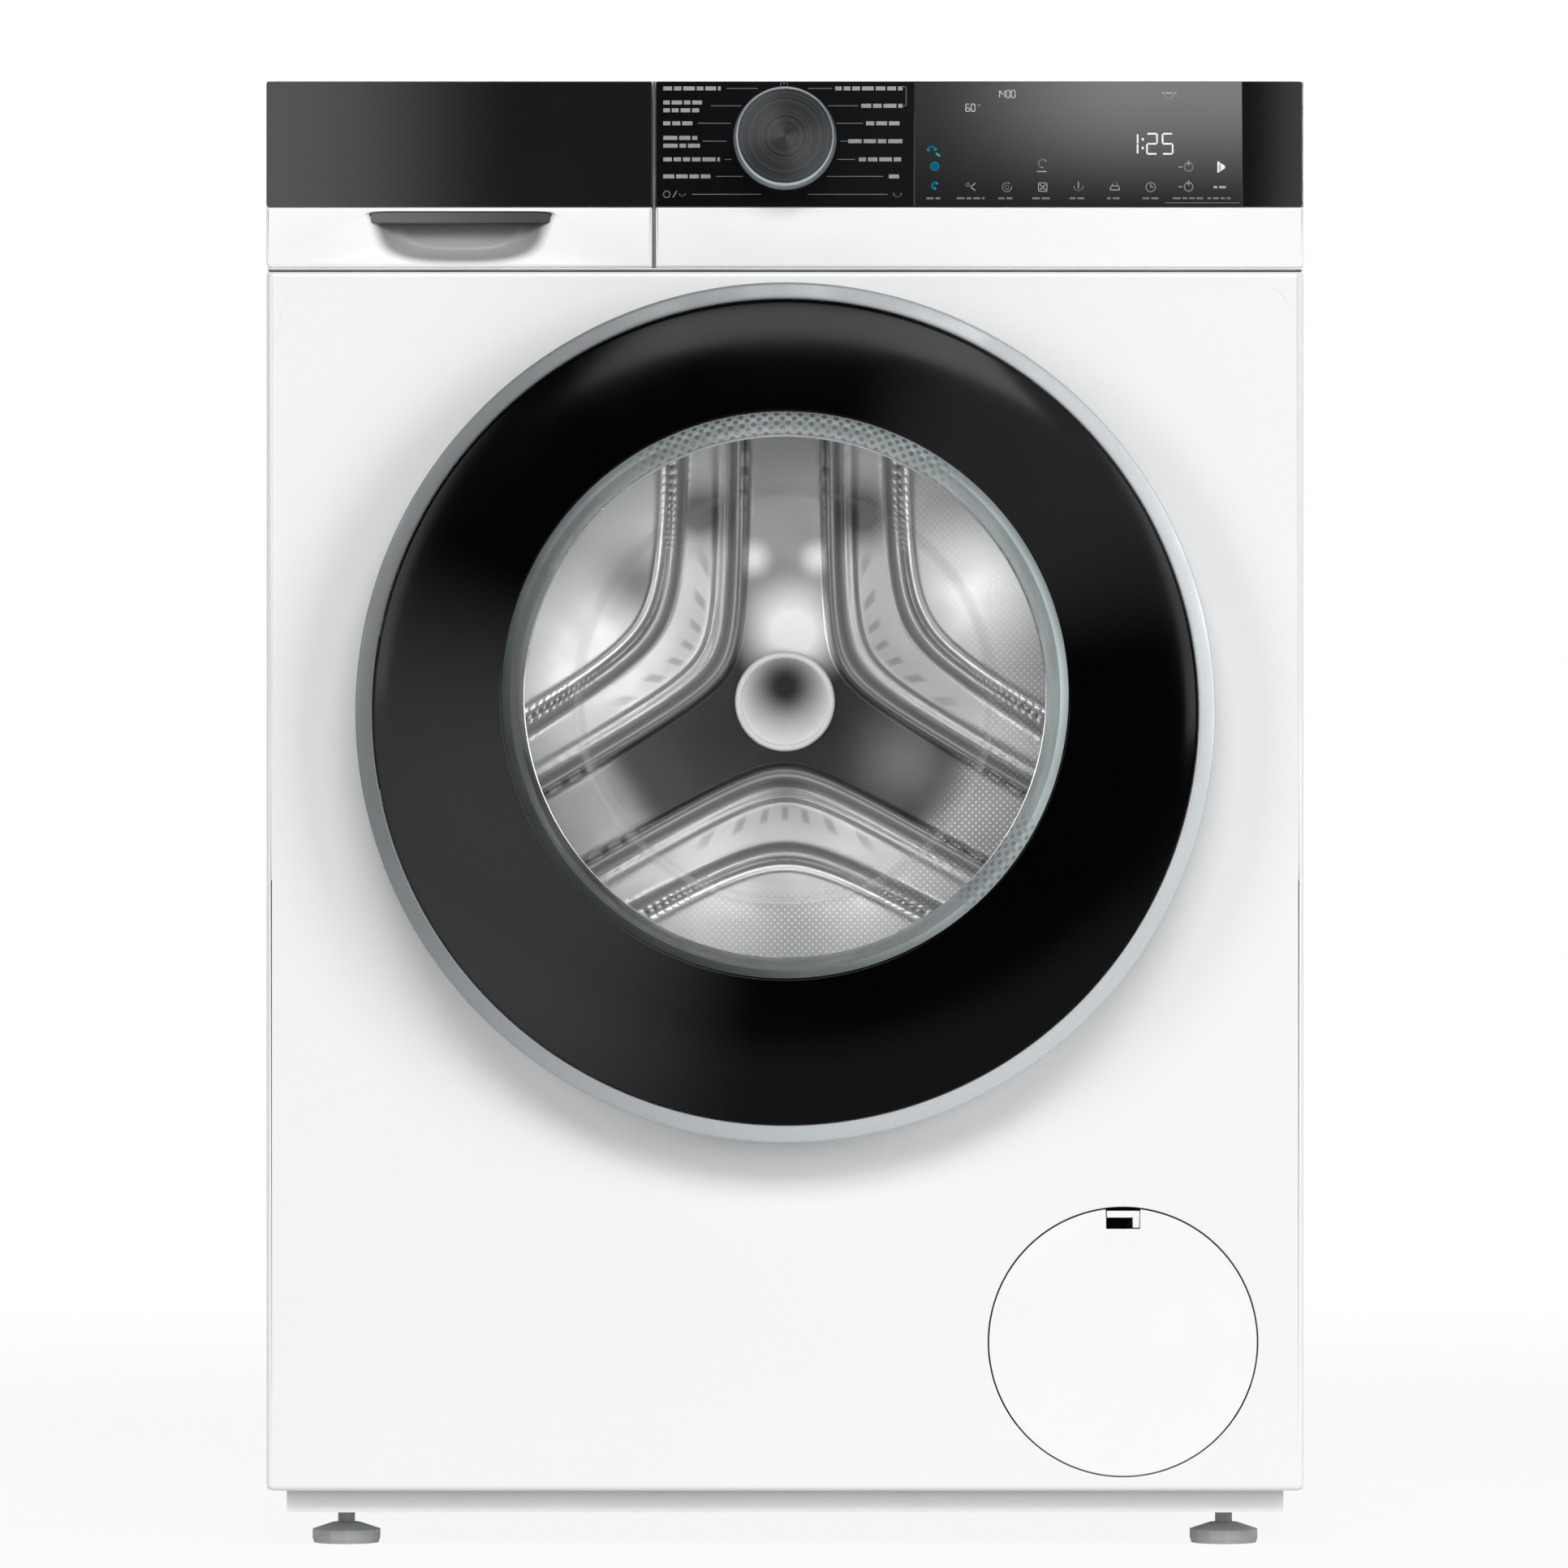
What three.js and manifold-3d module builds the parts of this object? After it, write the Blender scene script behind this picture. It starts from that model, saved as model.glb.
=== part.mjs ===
// A front load washing machine, in millimetres. +Z is up and the door faces -Y. The origin is at
// floor level, under the middle of the machine.
import * as THREE from "three";
import { mergeVertices } from "three/addons/utils/BufferGeometryUtils.js";
import Module from "manifold-3d";

const wasm = await Module();
wasm.setup();

// Driving dimensions: the casing.
const HALF_WIDTH = 299;
const HEIGHT = 848;
const FRONT_Y = -269;
const REAR_Y = 309;
const CASE_BOTTOM = 33.5;
const SHEET = 1.2;
const WORKTOP_THICKNESS = 24;
const WORKTOP_FRONT_Y = -244.5;

// Driving dimensions: the control fascia, from the seam over the front panel to the worktop.
const PANEL_TOP = 736.5;
const FASCIA_BOTTOM = 738.5;
const FASCIA_TOP = 846;
const BLACK_BOTTOM = 773.7;
const BLACK_THICKNESS = 3;
const FASCIA_LEFT = -74.6;
const DRAWER_RIGHT = -76.6;
const FASCIA_REAR_Y = -245;
const KNOB_Z = 813;
const KNOB_RADIUS = 29.7;

// Driving dimensions: the door and its window.
const AXIS_Z = 492;
const DOOR_Z = 482;
const DOOR_RADIUS = 246.5;
const DOOR_FRONT_Y = -319;
const WINDOW_RADIUS = 162.1;
const PORT_RADIUS = 180;
const HINGE = { x: -234, y: -292 };
const HOOK = { x: 213, y: -282 };

// Driving dimensions: the tub, the drum and the drive.
const TUB_RADIUS = 262;
const TUB_WALL = 6;
const DRUM_RADIUS = 245;
const DRUM_BACK_Y = 163;
const LIFTER_ANGLES = [90, 210, 330];
const MOTOR_DROP = 352;
const DRUM_PULLEY_RADIUS = 140;
const MOTOR_PULLEY_RADIUS = 11;

// Driving dimensions: what stands on the floor and the service flap.
const TRAY = { x: 288, front: -252, rear: 300, bottom: 20, top: 70, wall: 4 };
const FEET = {
  front_left: [-255, -215],
  front_right: [255, -215],
  rear_left: [-255, 255],
  rear_right: [255, 255],
};
const FLAP = { x: 194.8, z: 120.3, radius: 76.6, hingeDrop: 82.5, hingeY: -265.8, arm: 13, lug: 19 };
const DAMPER = { x: 150, y: 45 };
const SPRING = { x: 262, y: 75, radius: 14, wire: 3, low: 640.5, high: 799.7, turns: 7.5 };
const INLET = { x: -230, z: 785 };
const DRAIN = { x: 250, z: 700 };
const GLAND = { x: 250, z: 785 };

const GAP = 0.3;
const BIG_ROUND = 28;
const ROUND = 14;
const SMALL_ROUND = 8;

// Colour, roughness and metalness of each finish.
const FINISHES = {
  white_enamel: [0xf1f2f1, 0.3, 0],
  white_plastic: [0xeeefee, 0.42, 0],
  black_gloss: [0x060708, 0.08, 0],
  smoked_glass: [0x0a0b0c, 0.05, 0],
  clear_glass: [0xaab4b2, 0.04, 0],
  silver: [0xc3c8cb, 0.25, 0.9],
  dark_brushed: [0x3c3d3f, 0.35, 0.7],
  stainless: [0xb9bbbd, 0.28, 1],
  galvanised: [0xa7abad, 0.5, 0.8],
  cast_aluminium: [0xa9abab, 0.5, 0.8],
  spring_steel: [0x6e7073, 0.4, 0.9],
  concrete: [0x9a9892, 0.95, 0],
  grey_plastic: [0xb4b6b5, 0.6, 0],
  dark_plastic: [0x2b2c2e, 0.6, 0],
  grey_rubber: [0x6f7376, 0.8, 0],
  black_rubber: [0x1b1b1c, 0.85, 0],
  circuit_green: [0x1d5a3a, 0.5, 0],
};

const radians = (degrees) => (degrees * Math.PI) / 180;

// A closed geometry as a solid that can be joined and cut. A solid is returned as it is.
function solid(item) {
  if (!item.isBufferGeometry) return item;
  const loose = item.index ? item.toNonIndexed() : item;
  const bare = new THREE.BufferGeometry();
  bare.setAttribute("position", loose.getAttribute("position").clone());
  const merged = mergeVertices(bare, 1e-3);
  const corners = merged.index.array;
  const kept = [];
  for (let i = 0; i < corners.length; i += 3) {
    const [a, b, c] = corners.subarray(i, i + 3);
    if (a !== b && b !== c && c !== a) kept.push(a, b, c);
  }
  const build = (list) =>
    new wasm.Manifold(
      new wasm.Mesh({
        numProp: 3,
        vertProperties: merged.getAttribute("position").array,
        triVerts: new Uint32Array(list),
      }),
    );
  const made = build(kept);
  return made.volume() > 0 ? made : build(kept.reverse());
}

function join(...items) {
  return items.map(solid).reduce((whole, piece) => whole.add(piece));
}

function cut(item, ...tools) {
  return tools.map(solid).reduce((whole, tool) => whole.subtract(tool), solid(item));
}

// Adds one named mesh to a group.
function part(group, name, finish, item) {
  const made = solid(item).getMesh();
  const geometry = new THREE.BufferGeometry();
  const corners = new Float32Array(made.vertProperties);
  geometry.setAttribute("position", new THREE.BufferAttribute(corners, 3));
  geometry.setIndex(new THREE.BufferAttribute(new Uint32Array(made.triVerts), 1));
  geometry.computeVertexNormals();
  const [color, roughness, metalness] = FINISHES[finish];
  const material = new THREE.MeshStandardMaterial({ color, roughness, metalness });
  const mesh = new THREE.Mesh(geometry, material);
  mesh.name = name;
  group.add(mesh);
  return mesh;
}

function block(x0, x1, y0, y1, z0, z1) {
  const box = new THREE.BoxGeometry(x1 - x0, y1 - y0, z1 - z0);
  return box.translate((x0 + x1) / 2, (y0 + y1) / 2, (z0 + z1) / 2);
}

// A body turned about Y from [radius, y] points. A profile off the axis is closed on itself.
function turned(profile, segments = BIG_ROUND) {
  const points = profile.map(([radius, along]) => new THREE.Vector2(radius, along));
  if (profile[0][0] > 0 || profile.at(-1)[0] > 0) points.push(points[0].clone());
  return new THREE.LatheGeometry(points, segments);
}

const turnedUp = (profile, segments) => turned(profile, segments).rotateX(Math.PI / 2);
const turnedAcross = (profile, segments) => turned(profile, segments).rotateZ(-Math.PI / 2);

// The profile of a plain cylinder, for the three functions above.
const bar = (radius, from, to) => [[0, from], [radius, from], [radius, to], [0, to]];
const pipe = (inner, outer, from, to) => [[inner, from], [outer, from], [outer, to], [inner, to]];

function outline(points) {
  return new THREE.Shape(points.map(([u, v]) => new THREE.Vector2(u, v)));
}

function extruded(shape, depth, curveSegments = SMALL_ROUND) {
  return new THREE.ExtrudeGeometry(shape, { depth, bevelEnabled: false, curveSegments });
}

// Shapes drawn in x and z, then given a thickness along y; in x and y, along z; in y and z, along x.
const facingFront = (shape, y0, y1, curveSegments) =>
  extruded(shape, y1 - y0, curveSegments).rotateX(Math.PI / 2).translate(0, y1, 0);
const facingUp = (shape, z0, z1, curveSegments) =>
  extruded(shape, z1 - z0, curveSegments).translate(0, 0, z0);
const ALONG_X = new THREE.Matrix4().makeBasis(
  new THREE.Vector3(0, 1, 0),
  new THREE.Vector3(0, 0, 1),
  new THREE.Vector3(1, 0, 0),
);
const facingSide = (shape, x0, x1) =>
  extruded(shape, x1 - x0).applyMatrix4(ALONG_X).translate(x0, 0, 0);

// A solid tube of one radius along a curve.
function tube(curve, radius, steps, sides = 10) {
  const corners = Array.from({ length: sides }, (_, i) => {
    const angle = (i / sides) * 2 * Math.PI;
    return [radius * Math.cos(angle), radius * Math.sin(angle)];
  });
  return new THREE.ExtrudeGeometry(outline(corners), { steps, extrudePath: curve, bevelEnabled: false });
}

const smooth = (points) => new THREE.CatmullRomCurve3(points.map((point) => new THREE.Vector3(...point)));

// A coil of wire about Z, centred on the axis.
class Helix extends THREE.Curve {
  constructor(radius, low, high, turns) {
    super();
    Object.assign(this, { radius, low, high, turns });
  }
  getPoint(t, target = new THREE.Vector3()) {
    const angle = t * this.turns * 2 * Math.PI;
    const height = this.low + t * (this.high - this.low);
    return target.set(this.radius * Math.cos(angle), this.radius * Math.sin(angle), height);
  }
}

const machine = new THREE.Group();

// A nested group whose own origin is at x, y, z.
function groupAt(x, y, z, parent = machine) {
  const group = new THREE.Group();
  group.position.set(x, y, z);
  parent.add(group);
  return group;
}

// ---- Casing ----

function sidePanel(side) {
  const inner = side * (HALF_WIDTH - SHEET);
  const outer = side * HALF_WIDTH;
  const [x0, x1] = [Math.min(inner, outer), Math.max(inner, outer)];
  const rear = REAR_Y - 1.8;
  const top = HEIGHT - WORKTOP_THICKNESS - 0.5;
  const wall = join(
    block(x0, x1, -257, rear, CASE_BOTTOM, PANEL_TOP),
    block(x0, x1, WORKTOP_FRONT_Y + 0.5, rear, PANEL_TOP - 1, top),
  );
  const hanger = [245, HALF_WIDTH - 1].map((x) => side * x).sort((a, b) => a - b);
  const hook = SPRING.high + GAP;
  return join(wall, block(...hanger, SPRING.y - 20, SPRING.y + 20, hook, hook + 3));
}

function rearPanel() {
  const top = HEIGHT - WORKTOP_THICKNESS - 0.5;
  const sheet = block(-HALF_WIDTH, HALF_WIDTH, REAR_Y - SHEET, REAR_Y, CASE_BOTTOM, top);
  const hole = ({ x, z }, radius) => turned(bar(radius, REAR_Y - 5, REAR_Y + 5), ROUND).translate(x, 0, z);
  return cut(sheet, hole(INLET, 14.5), hole(DRAIN, 14), hole(GLAND, 10));
}

function frontPanel() {
  const back = FRONT_Y + SHEET;
  const flange = -258;
  const sheet = join(
    block(-HALF_WIDTH, HALF_WIDTH, FRONT_Y, back, CASE_BOTTOM, PANEL_TOP),
    block(-HALF_WIDTH, -HALF_WIDTH + SHEET, FRONT_Y, flange, CASE_BOTTOM, PANEL_TOP),
    block(HALF_WIDTH - SHEET, HALF_WIDTH, FRONT_Y, flange, CASE_BOTTOM, PANEL_TOP),
    block(-HALF_WIDTH, HALF_WIDTH, FRONT_Y, flange, CASE_BOTTOM, CASE_BOTTOM + SHEET),
  );
  const opened = cut(
    sheet,
    turned(bar(PORT_RADIUS, FRONT_Y - 5, flange)).translate(0, 0, AXIS_Z),
    turned(bar(FLAP.radius + 1.4, FRONT_Y - 5, -262)).translate(FLAP.x, 0, FLAP.z),
    block(HOOK.x - 9, HOOK.x + 9, FRONT_Y - 5, flange, DOOR_Z - 16, DOOR_Z + 16),
  );
  const pinZ = FLAP.z - FLAP.hingeDrop;
  const lug = (x) =>
    cut(
      block(x - 2, x + 2, back - 0.5, -263, pinZ - 3.5, pinZ + 3.4),
      turnedAcross(bar(1.6, x - 5, x + 5), SMALL_ROUND).translate(0, FLAP.hingeY, pinZ),
    );
  return join(opened, lug(FLAP.x - FLAP.lug), lug(FLAP.x + FLAP.lug));
}

function worktop() {
  return block(-HALF_WIDTH, HALF_WIDTH, WORKTOP_FRONT_Y, REAR_Y, HEIGHT - WORKTOP_THICKNESS, HEIGHT);
}

function baseTray() {
  const { x, front, rear, bottom, top, wall } = TRAY;
  const shell = cut(
    block(-x, x, front, rear, bottom, top),
    block(-x + wall, x - wall, front + wall, rear - wall, bottom + wall, top + 1),
  );
  const atFeet = (item) => Object.values(FEET).map(([u, v]) => item.clone().translate(u, v, 0));
  const bosses = atFeet(turnedUp(bar(13, bottom, 58), ROUND));
  const bores = atFeet(turnedUp(bar(5.6, 0, 70), SMALL_ROUND));
  return cut(join(shell, ...bosses), ...bores);
}

// A levelling foot: a rubber-faced pad with a threaded stud.
function foot() {
  return turnedUp([[0, 0], [19, 0], [20, 3], [20, 8], [8, 12], [5, 12], [5, 62], [0, 62]], ROUND);
}

part(machine, "left_side_panel", "white_enamel", sidePanel(-1));
part(machine, "right_side_panel", "white_enamel", sidePanel(1));
part(machine, "rear_panel", "galvanised", rearPanel());
part(machine, "front_panel", "white_enamel", frontPanel());
part(machine, "worktop", "white_plastic", worktop());
part(machine, "base_tray", "white_plastic", baseTray());
for (const [place, [x, y]] of Object.entries(FEET)) {
  part(groupAt(x, y, 0), "foot_" + place, "grey_plastic", foot());
}

// ---- Control fascia ----

function fasciaHousing() {
  const wall = 3;
  const step = FRONT_Y + BLACK_THICKNESS + GAP;
  const ledge = BLACK_BOTTOM - GAP;
  const profile = (shrink, front, rear) =>
    outline([
      [FRONT_Y + front, FASCIA_BOTTOM + shrink],
      [FRONT_Y + front, ledge - shrink],
      [step + front, ledge - shrink],
      [step + front, FASCIA_TOP - shrink],
      [rear, FASCIA_TOP - shrink],
      [rear, FASCIA_BOTTOM + shrink],
    ]);
  const box = cut(
    facingSide(profile(0, 0, FASCIA_REAR_Y), FASCIA_LEFT, HALF_WIDTH),
    facingSide(profile(wall, wall, FASCIA_REAR_Y + 1), FASCIA_LEFT + wall, HALF_WIDTH - wall),
    turned(bar(5, FRONT_Y, FRONT_Y + 10), SMALL_ROUND).translate(0, 0, KNOB_Z),
  );
  const frame = cut(
    block(-HALF_WIDTH, FASCIA_LEFT + 1, -250.5, -247.5, FASCIA_BOTTOM, FASCIA_TOP),
    block(-284, -91, -260, -240, 754, 815),
  );
  return join(box, frame);
}

function fasciaBlackPanel() {
  return cut(
    block(FASCIA_LEFT, HALF_WIDTH, FRONT_Y, FRONT_Y + BLACK_THICKNESS, BLACK_BOTTOM, FASCIA_TOP),
    turned(bar(5, FRONT_Y - 5, FRONT_Y + 5), SMALL_ROUND).translate(0, 0, KNOB_Z),
  );
}

// The electronics behind the fascia: a board with the display block and the knob's encoder.
function controlBoard() {
  return join(
    block(-50, 285, -258, -256, 752, 836),
    block(80, 258, -262.2, -257.5, 778, 838),
    block(-12, 12, -256.5, -246, KNOB_Z - 13, KNOB_Z + 13),
  );
}

function selectorKnob() {
  return turned(
    [[0, -294], [26.6, -294], [28, -292.8], [KNOB_RADIUS, -270.5], [3, -270.5], [3, -259], [0, -259]],
    BIG_ROUND,
  );
}

part(machine, "fascia_housing", "white_plastic", fasciaHousing());
part(machine, "fascia_black_panel", "black_gloss", fasciaBlackPanel());
part(machine, "control_board", "circuit_green", controlBoard());
part(groupAt(0, 0, KNOB_Z), "selector_knob", "dark_brushed", selectorKnob());

// ---- Detergent drawer ----

const GRIP = { x: -187, half: 58, top: 771.8, bottom: 740.5 };

function drawerFront() {
  const behindBlack = FRONT_Y + BLACK_THICKNESS + GAP;
  const body = join(
    block(-HALF_WIDTH, DRAWER_RIGHT, FRONT_Y, -251, FASCIA_BOTTOM, BLACK_BOTTOM - GAP),
    block(-HALF_WIDTH, DRAWER_RIGHT, behindBlack, -251, BLACK_BOTTOM - 1, FASCIA_TOP),
  );
  const bowl = new THREE.Shape();
  bowl.moveTo(GRIP.x - GRIP.half, GRIP.top);
  bowl.absellipse(GRIP.x, GRIP.top, GRIP.half, GRIP.top - GRIP.bottom, Math.PI, 2 * Math.PI, false);
  bowl.closePath();
  return cut(
    body,
    facingFront(bowl, FRONT_Y - 1, -255, ROUND),
    block(-HALF_WIDTH + 3, DRAWER_RIGHT - 3, -262, -250, 776, FASCIA_TOP - 3),
  );
}

function drawerBlackPanel() {
  return block(-HALF_WIDTH, DRAWER_RIGHT, FRONT_Y, FRONT_Y + BLACK_THICKNESS, BLACK_BOTTOM, FASCIA_TOP);
}

const DRAWER = { left: -281, right: -94, front: -250.7, rear: 30, bottom: 757, top: 806, wall: 2.5 };
const DRAWER_PARTITIONS = [-220, -160];

function drawerTray() {
  const { left, right, front, rear, bottom, top, wall } = DRAWER;
  const bounds = [left, ...DRAWER_PARTITIONS, right];
  const pockets = bounds.slice(1).map((x, i) => {
    const [low, high] = [bounds[i] + (i ? wall / 2 : wall), x - (i < 2 ? wall / 2 : wall)];
    return block(low, high, front + wall, rear - wall, bottom + wall, top + 1);
  });
  return cut(block(left, right, front, rear, bottom, top), ...pockets);
}

const DISPENSER = { left: -287.5, right: -87.5, front: -246, rear: 50, bottom: 751.5, top: 817.5, wall: 2.5 };
const DISPENSER_OUTLET = { x: -200, y: -60 };

function dispenserHousing() {
  const { left, right, front, rear, bottom, top, wall } = DISPENSER;
  const outlet = DISPENSER_OUTLET;
  return cut(
    block(left, right, front, rear, bottom, top),
    block(left + wall, right - wall, front - 1, rear - wall, bottom + wall, top - wall),
    turnedUp(bar(12, bottom - 5, bottom + 5), SMALL_ROUND).translate(outlet.x, outlet.y, 0),
  );
}

const drawer = groupAt(0, 0, 0);
part(drawer, "drawer_front", "white_plastic", drawerFront());
part(drawer, "drawer_black_panel", "black_gloss", drawerBlackPanel());
part(drawer, "drawer_tray", "white_plastic", drawerTray());
part(machine, "dispenser_housing", "grey_plastic", dispenserHousing());

// ---- Door, drawn about the middle of its ring ----

const WINDOW_RISE = AXIS_Z - DOOR_Z;

function doorOuterRing() {
  const ring = turned([
    [237, -308.5], [244, -304], [DOOR_RADIUS, -299], [DOOR_RADIUS, -277],
    [244, -274], [242.5, -274], [242.5, -297], [237, -303],
  ]);
  return cut(ring, block(-250, -181, -300, -270, -47, 47));
}

function doorGlassPanel() {
  const dish = turned([
    [0, DOOR_FRONT_Y], [165, DOOR_FRONT_Y], [200, -317], [236.3, -309],
    [236.3, -305], [200, -313], [165, -315], [0, -315],
  ]);
  return cut(dish, turned(bar(WINDOW_RADIUS, -325, -300)).translate(0, 0, WINDOW_RISE));
}

function doorInnerFrame() {
  const plate = cut(
    turned(bar(236, -275.5, -271.5)),
    turned(bar(165, -280, -270)).translate(0, 0, WINDOW_RISE),
  );
  const wall = turned(pipe(230, 236, -300, -275));
  const collar = turned(pipe(165, 170, -303.5, -271.5)).translate(0, 0, WINDOW_RISE);
  const rightOfHinge = block(-180, -172, -295.2, -275, -30, 30);
  const body = cut(join(plate, wall, collar), block(-250, -181, -301, -270, -47, 47));
  const hookPocket = block(HOOK.x - 13, HOOK.x + 13, -290, -270, -12, 12);
  return cut(join(body, rightOfHinge), hookPocket);
}

// The glass bowl that reaches into the drum's mouth. Its front rim fills the window.
function doorBowl() {
  return turned([
    [158, -309], [175, -309], [175, -304], [162.5, -304], [155, -262], [148, -225], [124, -168],
    [0, -160], [0, -165], [120, -173], [143, -228], [150, -264],
  ]).translate(0, 0, WINDOW_RISE);
}

// The bracket on the casing: two arms that hold the hinge pin in front of the front panel.
function doorHingeBracket() {
  const arm = [[-5, -4.5], [36, 2], [43, 8], [43, 22.5], [34, 22.5], [32, 12.5], [-5, 5.5]];
  const armAt = (z) =>
    join(facingUp(outline(arm), z, z + 8), turnedUp(bar(7.5, z, z + 8), ROUND));
  return join(
    turnedUp(bar(4, -44, 44), SMALL_ROUND),
    armAt(-42),
    armAt(34),
    block(32, 50, 21.1, 22.7, -50, 50),
  );
}

function doorHingeLeaf() {
  const leaf = join(turnedUp(bar(7.5, -32, 32), ROUND), block(0, 62, -7.5, -3.5, -32, 32));
  return cut(leaf, turnedUp(bar(4.4, -40, 40), SMALL_ROUND));
}

function doorHook() {
  return join(
    block(-3, 3, -3, 32, -8, 8),
    block(-7, 3, 26, 32, -8, 8),
    turnedUp(bar(5, -8, 8), SMALL_ROUND),
  );
}

function doorLock() {
  return cut(
    block(HOOK.x - 15, HOOK.x + 17, -267.4, -238, DOOR_Z - 30, DOOR_Z + 30),
    block(HOOK.x - 9, HOOK.x + 9, -270, -245, DOOR_Z - 16, DOOR_Z + 16),
  );
}

const door = groupAt(0, 0, DOOR_Z);
part(door, "door_outer_ring", "silver", doorOuterRing());
part(door, "door_glass_panel", "smoked_glass", doorGlassPanel());
part(door, "door_inner_frame", "dark_plastic", doorInnerFrame());
part(door, "door_bowl", "clear_glass", doorBowl());
part(groupAt(HINGE.x, HINGE.y, DOOR_Z), "door_hinge_leaf", "cast_aluminium", doorHingeLeaf());
part(groupAt(HINGE.x, HINGE.y, DOOR_Z), "door_hinge_bracket", "cast_aluminium", doorHingeBracket());
part(groupAt(HOOK.x, HOOK.y, DOOR_Z), "door_hook", "stainless", doorHook());
part(machine, "door_lock", "dark_plastic", doorLock());

// ---- Service flap and drain pump, drawn about the flap's middle ----

// Each hinge arm is a gooseneck, so that the disc clears the front panel's edge as it swings down.
function serviceFlap() {
  const back = FRONT_Y + 3;
  const reach = FLAP.lug + 1.7;
  const pin = turnedAcross(bar(1.2, -reach, reach), SMALL_ROUND);
  const neck = [[-0.5, -1.5], [7.8, -1.5], [7.8, 9], [-0.6, 9], [-0.6, 7.4], [6, 7.4], [6, 1.5], [-0.5, 1.5]];
  const arm = (x) => facingSide(outline(neck), x - 2, x + 2);
  const hinge = join(pin, arm(-FLAP.arm), arm(FLAP.arm)).translate([0, FLAP.hingeY, -FLAP.hingeDrop]);
  const latch = cut(
    block(-13, 13, back - 0.5, back + 3, 56, 75.6),
    block(-9.5, 9.5, back - 2, back + 5, 58, 69.7),
  );
  const disc = cut(
    turned(bar(FLAP.radius, FRONT_Y, back)),
    block(-10, 10, FRONT_Y - 1, back + 0.01, 65.2, 80),
  );
  return join(disc, hinge, latch);
}

const PUMP = { radius: 32, bore: 24, front: -240, rear: -150 };

function pumpHousing() {
  const barrel = turned(bar(PUMP.radius, PUMP.front, PUMP.rear), ROUND);
  const foot = block(-20, 20, PUMP.front, PUMP.rear, TRAY.bottom + TRAY.wall + GAP - FLAP.z, 0);
  const inlet = turnedAcross(bar(16, -46.8, -20), ROUND).translate(0, -200, 0);
  const outlet = turnedUp(bar(12, 20, 44.7), ROUND).translate(0, -175, 0);
  return cut(join(barrel, foot, inlet, outlet), turned(bar(PUMP.bore, PUMP.front - 5, -165), ROUND));
}

// The filter that unscrews from the front of the pump.
function pumpFilter() {
  return join(
    turned(bar(PUMP.bore - 1, -241.5, -170), ROUND),
    turned(bar(30, -247, -241), ROUND),
    block(-5, 5, -258.5, -246.5, -25, 25),
  );
}

const pump = groupAt(FLAP.x, 0, FLAP.z);
part(pump, "service_flap", "white_plastic", serviceFlap());
part(pump, "pump_housing", "dark_plastic", pumpHousing());
part(pump, "pump_filter", "grey_plastic", pumpFilter());

// ---- Tub and what is fixed to it, drawn about the drum's axis ----

const TUB_INNER = TUB_RADIUS - TUB_WALL;
const NECK = { inner: 168, outer: 176, front: -203 };
const HEATER_Z = -270;
const TROUGH = { x: 55, front: -150, rear: -10, bottom: -287, wall: 4 };
const SUMP = { x: 30, y: -120, radius: 16, bore: 12, bottom: 190 - AXIS_Z };
const TUB_INLET = { ...DISPENSER_OUTLET, top: 700 - AXIS_Z, bottom: 130 };

function tubFront() {
  const shell = turned([
    [NECK.inner, NECK.front], [NECK.outer, NECK.front], [NECK.outer, -185], [TUB_RADIUS, -185],
    [TUB_RADIUS, 0], [TUB_INNER, 0], [TUB_INNER, -181], [NECK.inner, -181],
  ]);
  const { x, front, rear, bottom, wall } = TROUGH;
  const trough = block(-x, x, front, rear, bottom, -251);
  const stub = turnedUp(bar(SUMP.radius, SUMP.bottom, bottom + 1), ROUND).translate(SUMP.x, SUMP.y, 0);
  const inletAt = (radius, top, segments) =>
    turnedUp(bar(radius, TUB_INLET.bottom, top), segments).translate(TUB_INLET.x, TUB_INLET.y, 0);
  const inletFoot = turned(bar(TUB_INNER + 1, -90, -30));
  return cut(
    join(shell, trough, stub, cut(inletAt(16, TUB_INLET.top, ROUND), inletFoot)),
    block(-x + wall, x - wall, front + wall, rear - wall, bottom + wall, -240),
    turnedUp(bar(SUMP.bore, SUMP.bottom - 5, bottom + wall + 1), SMALL_ROUND).translate(SUMP.x, SUMP.y, 0),
    inletAt(11, TUB_INLET.top + 5, SMALL_ROUND),
    block(-14, 14, front - 1, front + wall + 1, HEATER_Z - 7, HEATER_Z + 6),
  );
}

const HOUSING = { radius: 50, rear: 252, frontSeat: 36, rearSeat: 31, wall: 22 };

function tubRear() {
  const shell = turned([
    [TUB_INNER, GAP], [TUB_RADIUS, GAP], [TUB_RADIUS, 196], [HOUSING.radius, 196],
    [HOUSING.radius, HOUSING.rear], [HOUSING.rearSeat, HOUSING.rear], [HOUSING.rearSeat, 232],
    [HOUSING.wall, 232], [HOUSING.wall, 216], [HOUSING.frontSeat, 216], [HOUSING.frontSeat, 190],
    [TUB_INNER, 190],
  ]);
  const across = (low, high) => [[-high, -low], [low, high]];
  const springEars = across(217, 276).map((x) =>
    block(...x, SPRING.y - 15, SPRING.y + 15, SPRING.low - 12.5 - AXIS_Z, SPRING.low - 0.5 - AXIS_Z),
  );
  const damperEars = across(138, 162).map((x) => block(...x, DAMPER.y - 15, DAMPER.y + 15, -227, -217));
  const motorLugs = [90, 160].map((y) => block(-60, 60, y - 10, y + 10, -287, -258));
  return join(shell, ...springEars, ...damperEars, ...motorLugs);
}

function upperCounterweight() {
  return cut(block(-60, 190, -60, 150, 60, 806 - AXIS_Z), turned(bar(TUB_RADIUS + 1.5, -70, 160)));
}

function frontCounterweight() {
  return turned(pipe(184, 252, -225, -186));
}

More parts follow.
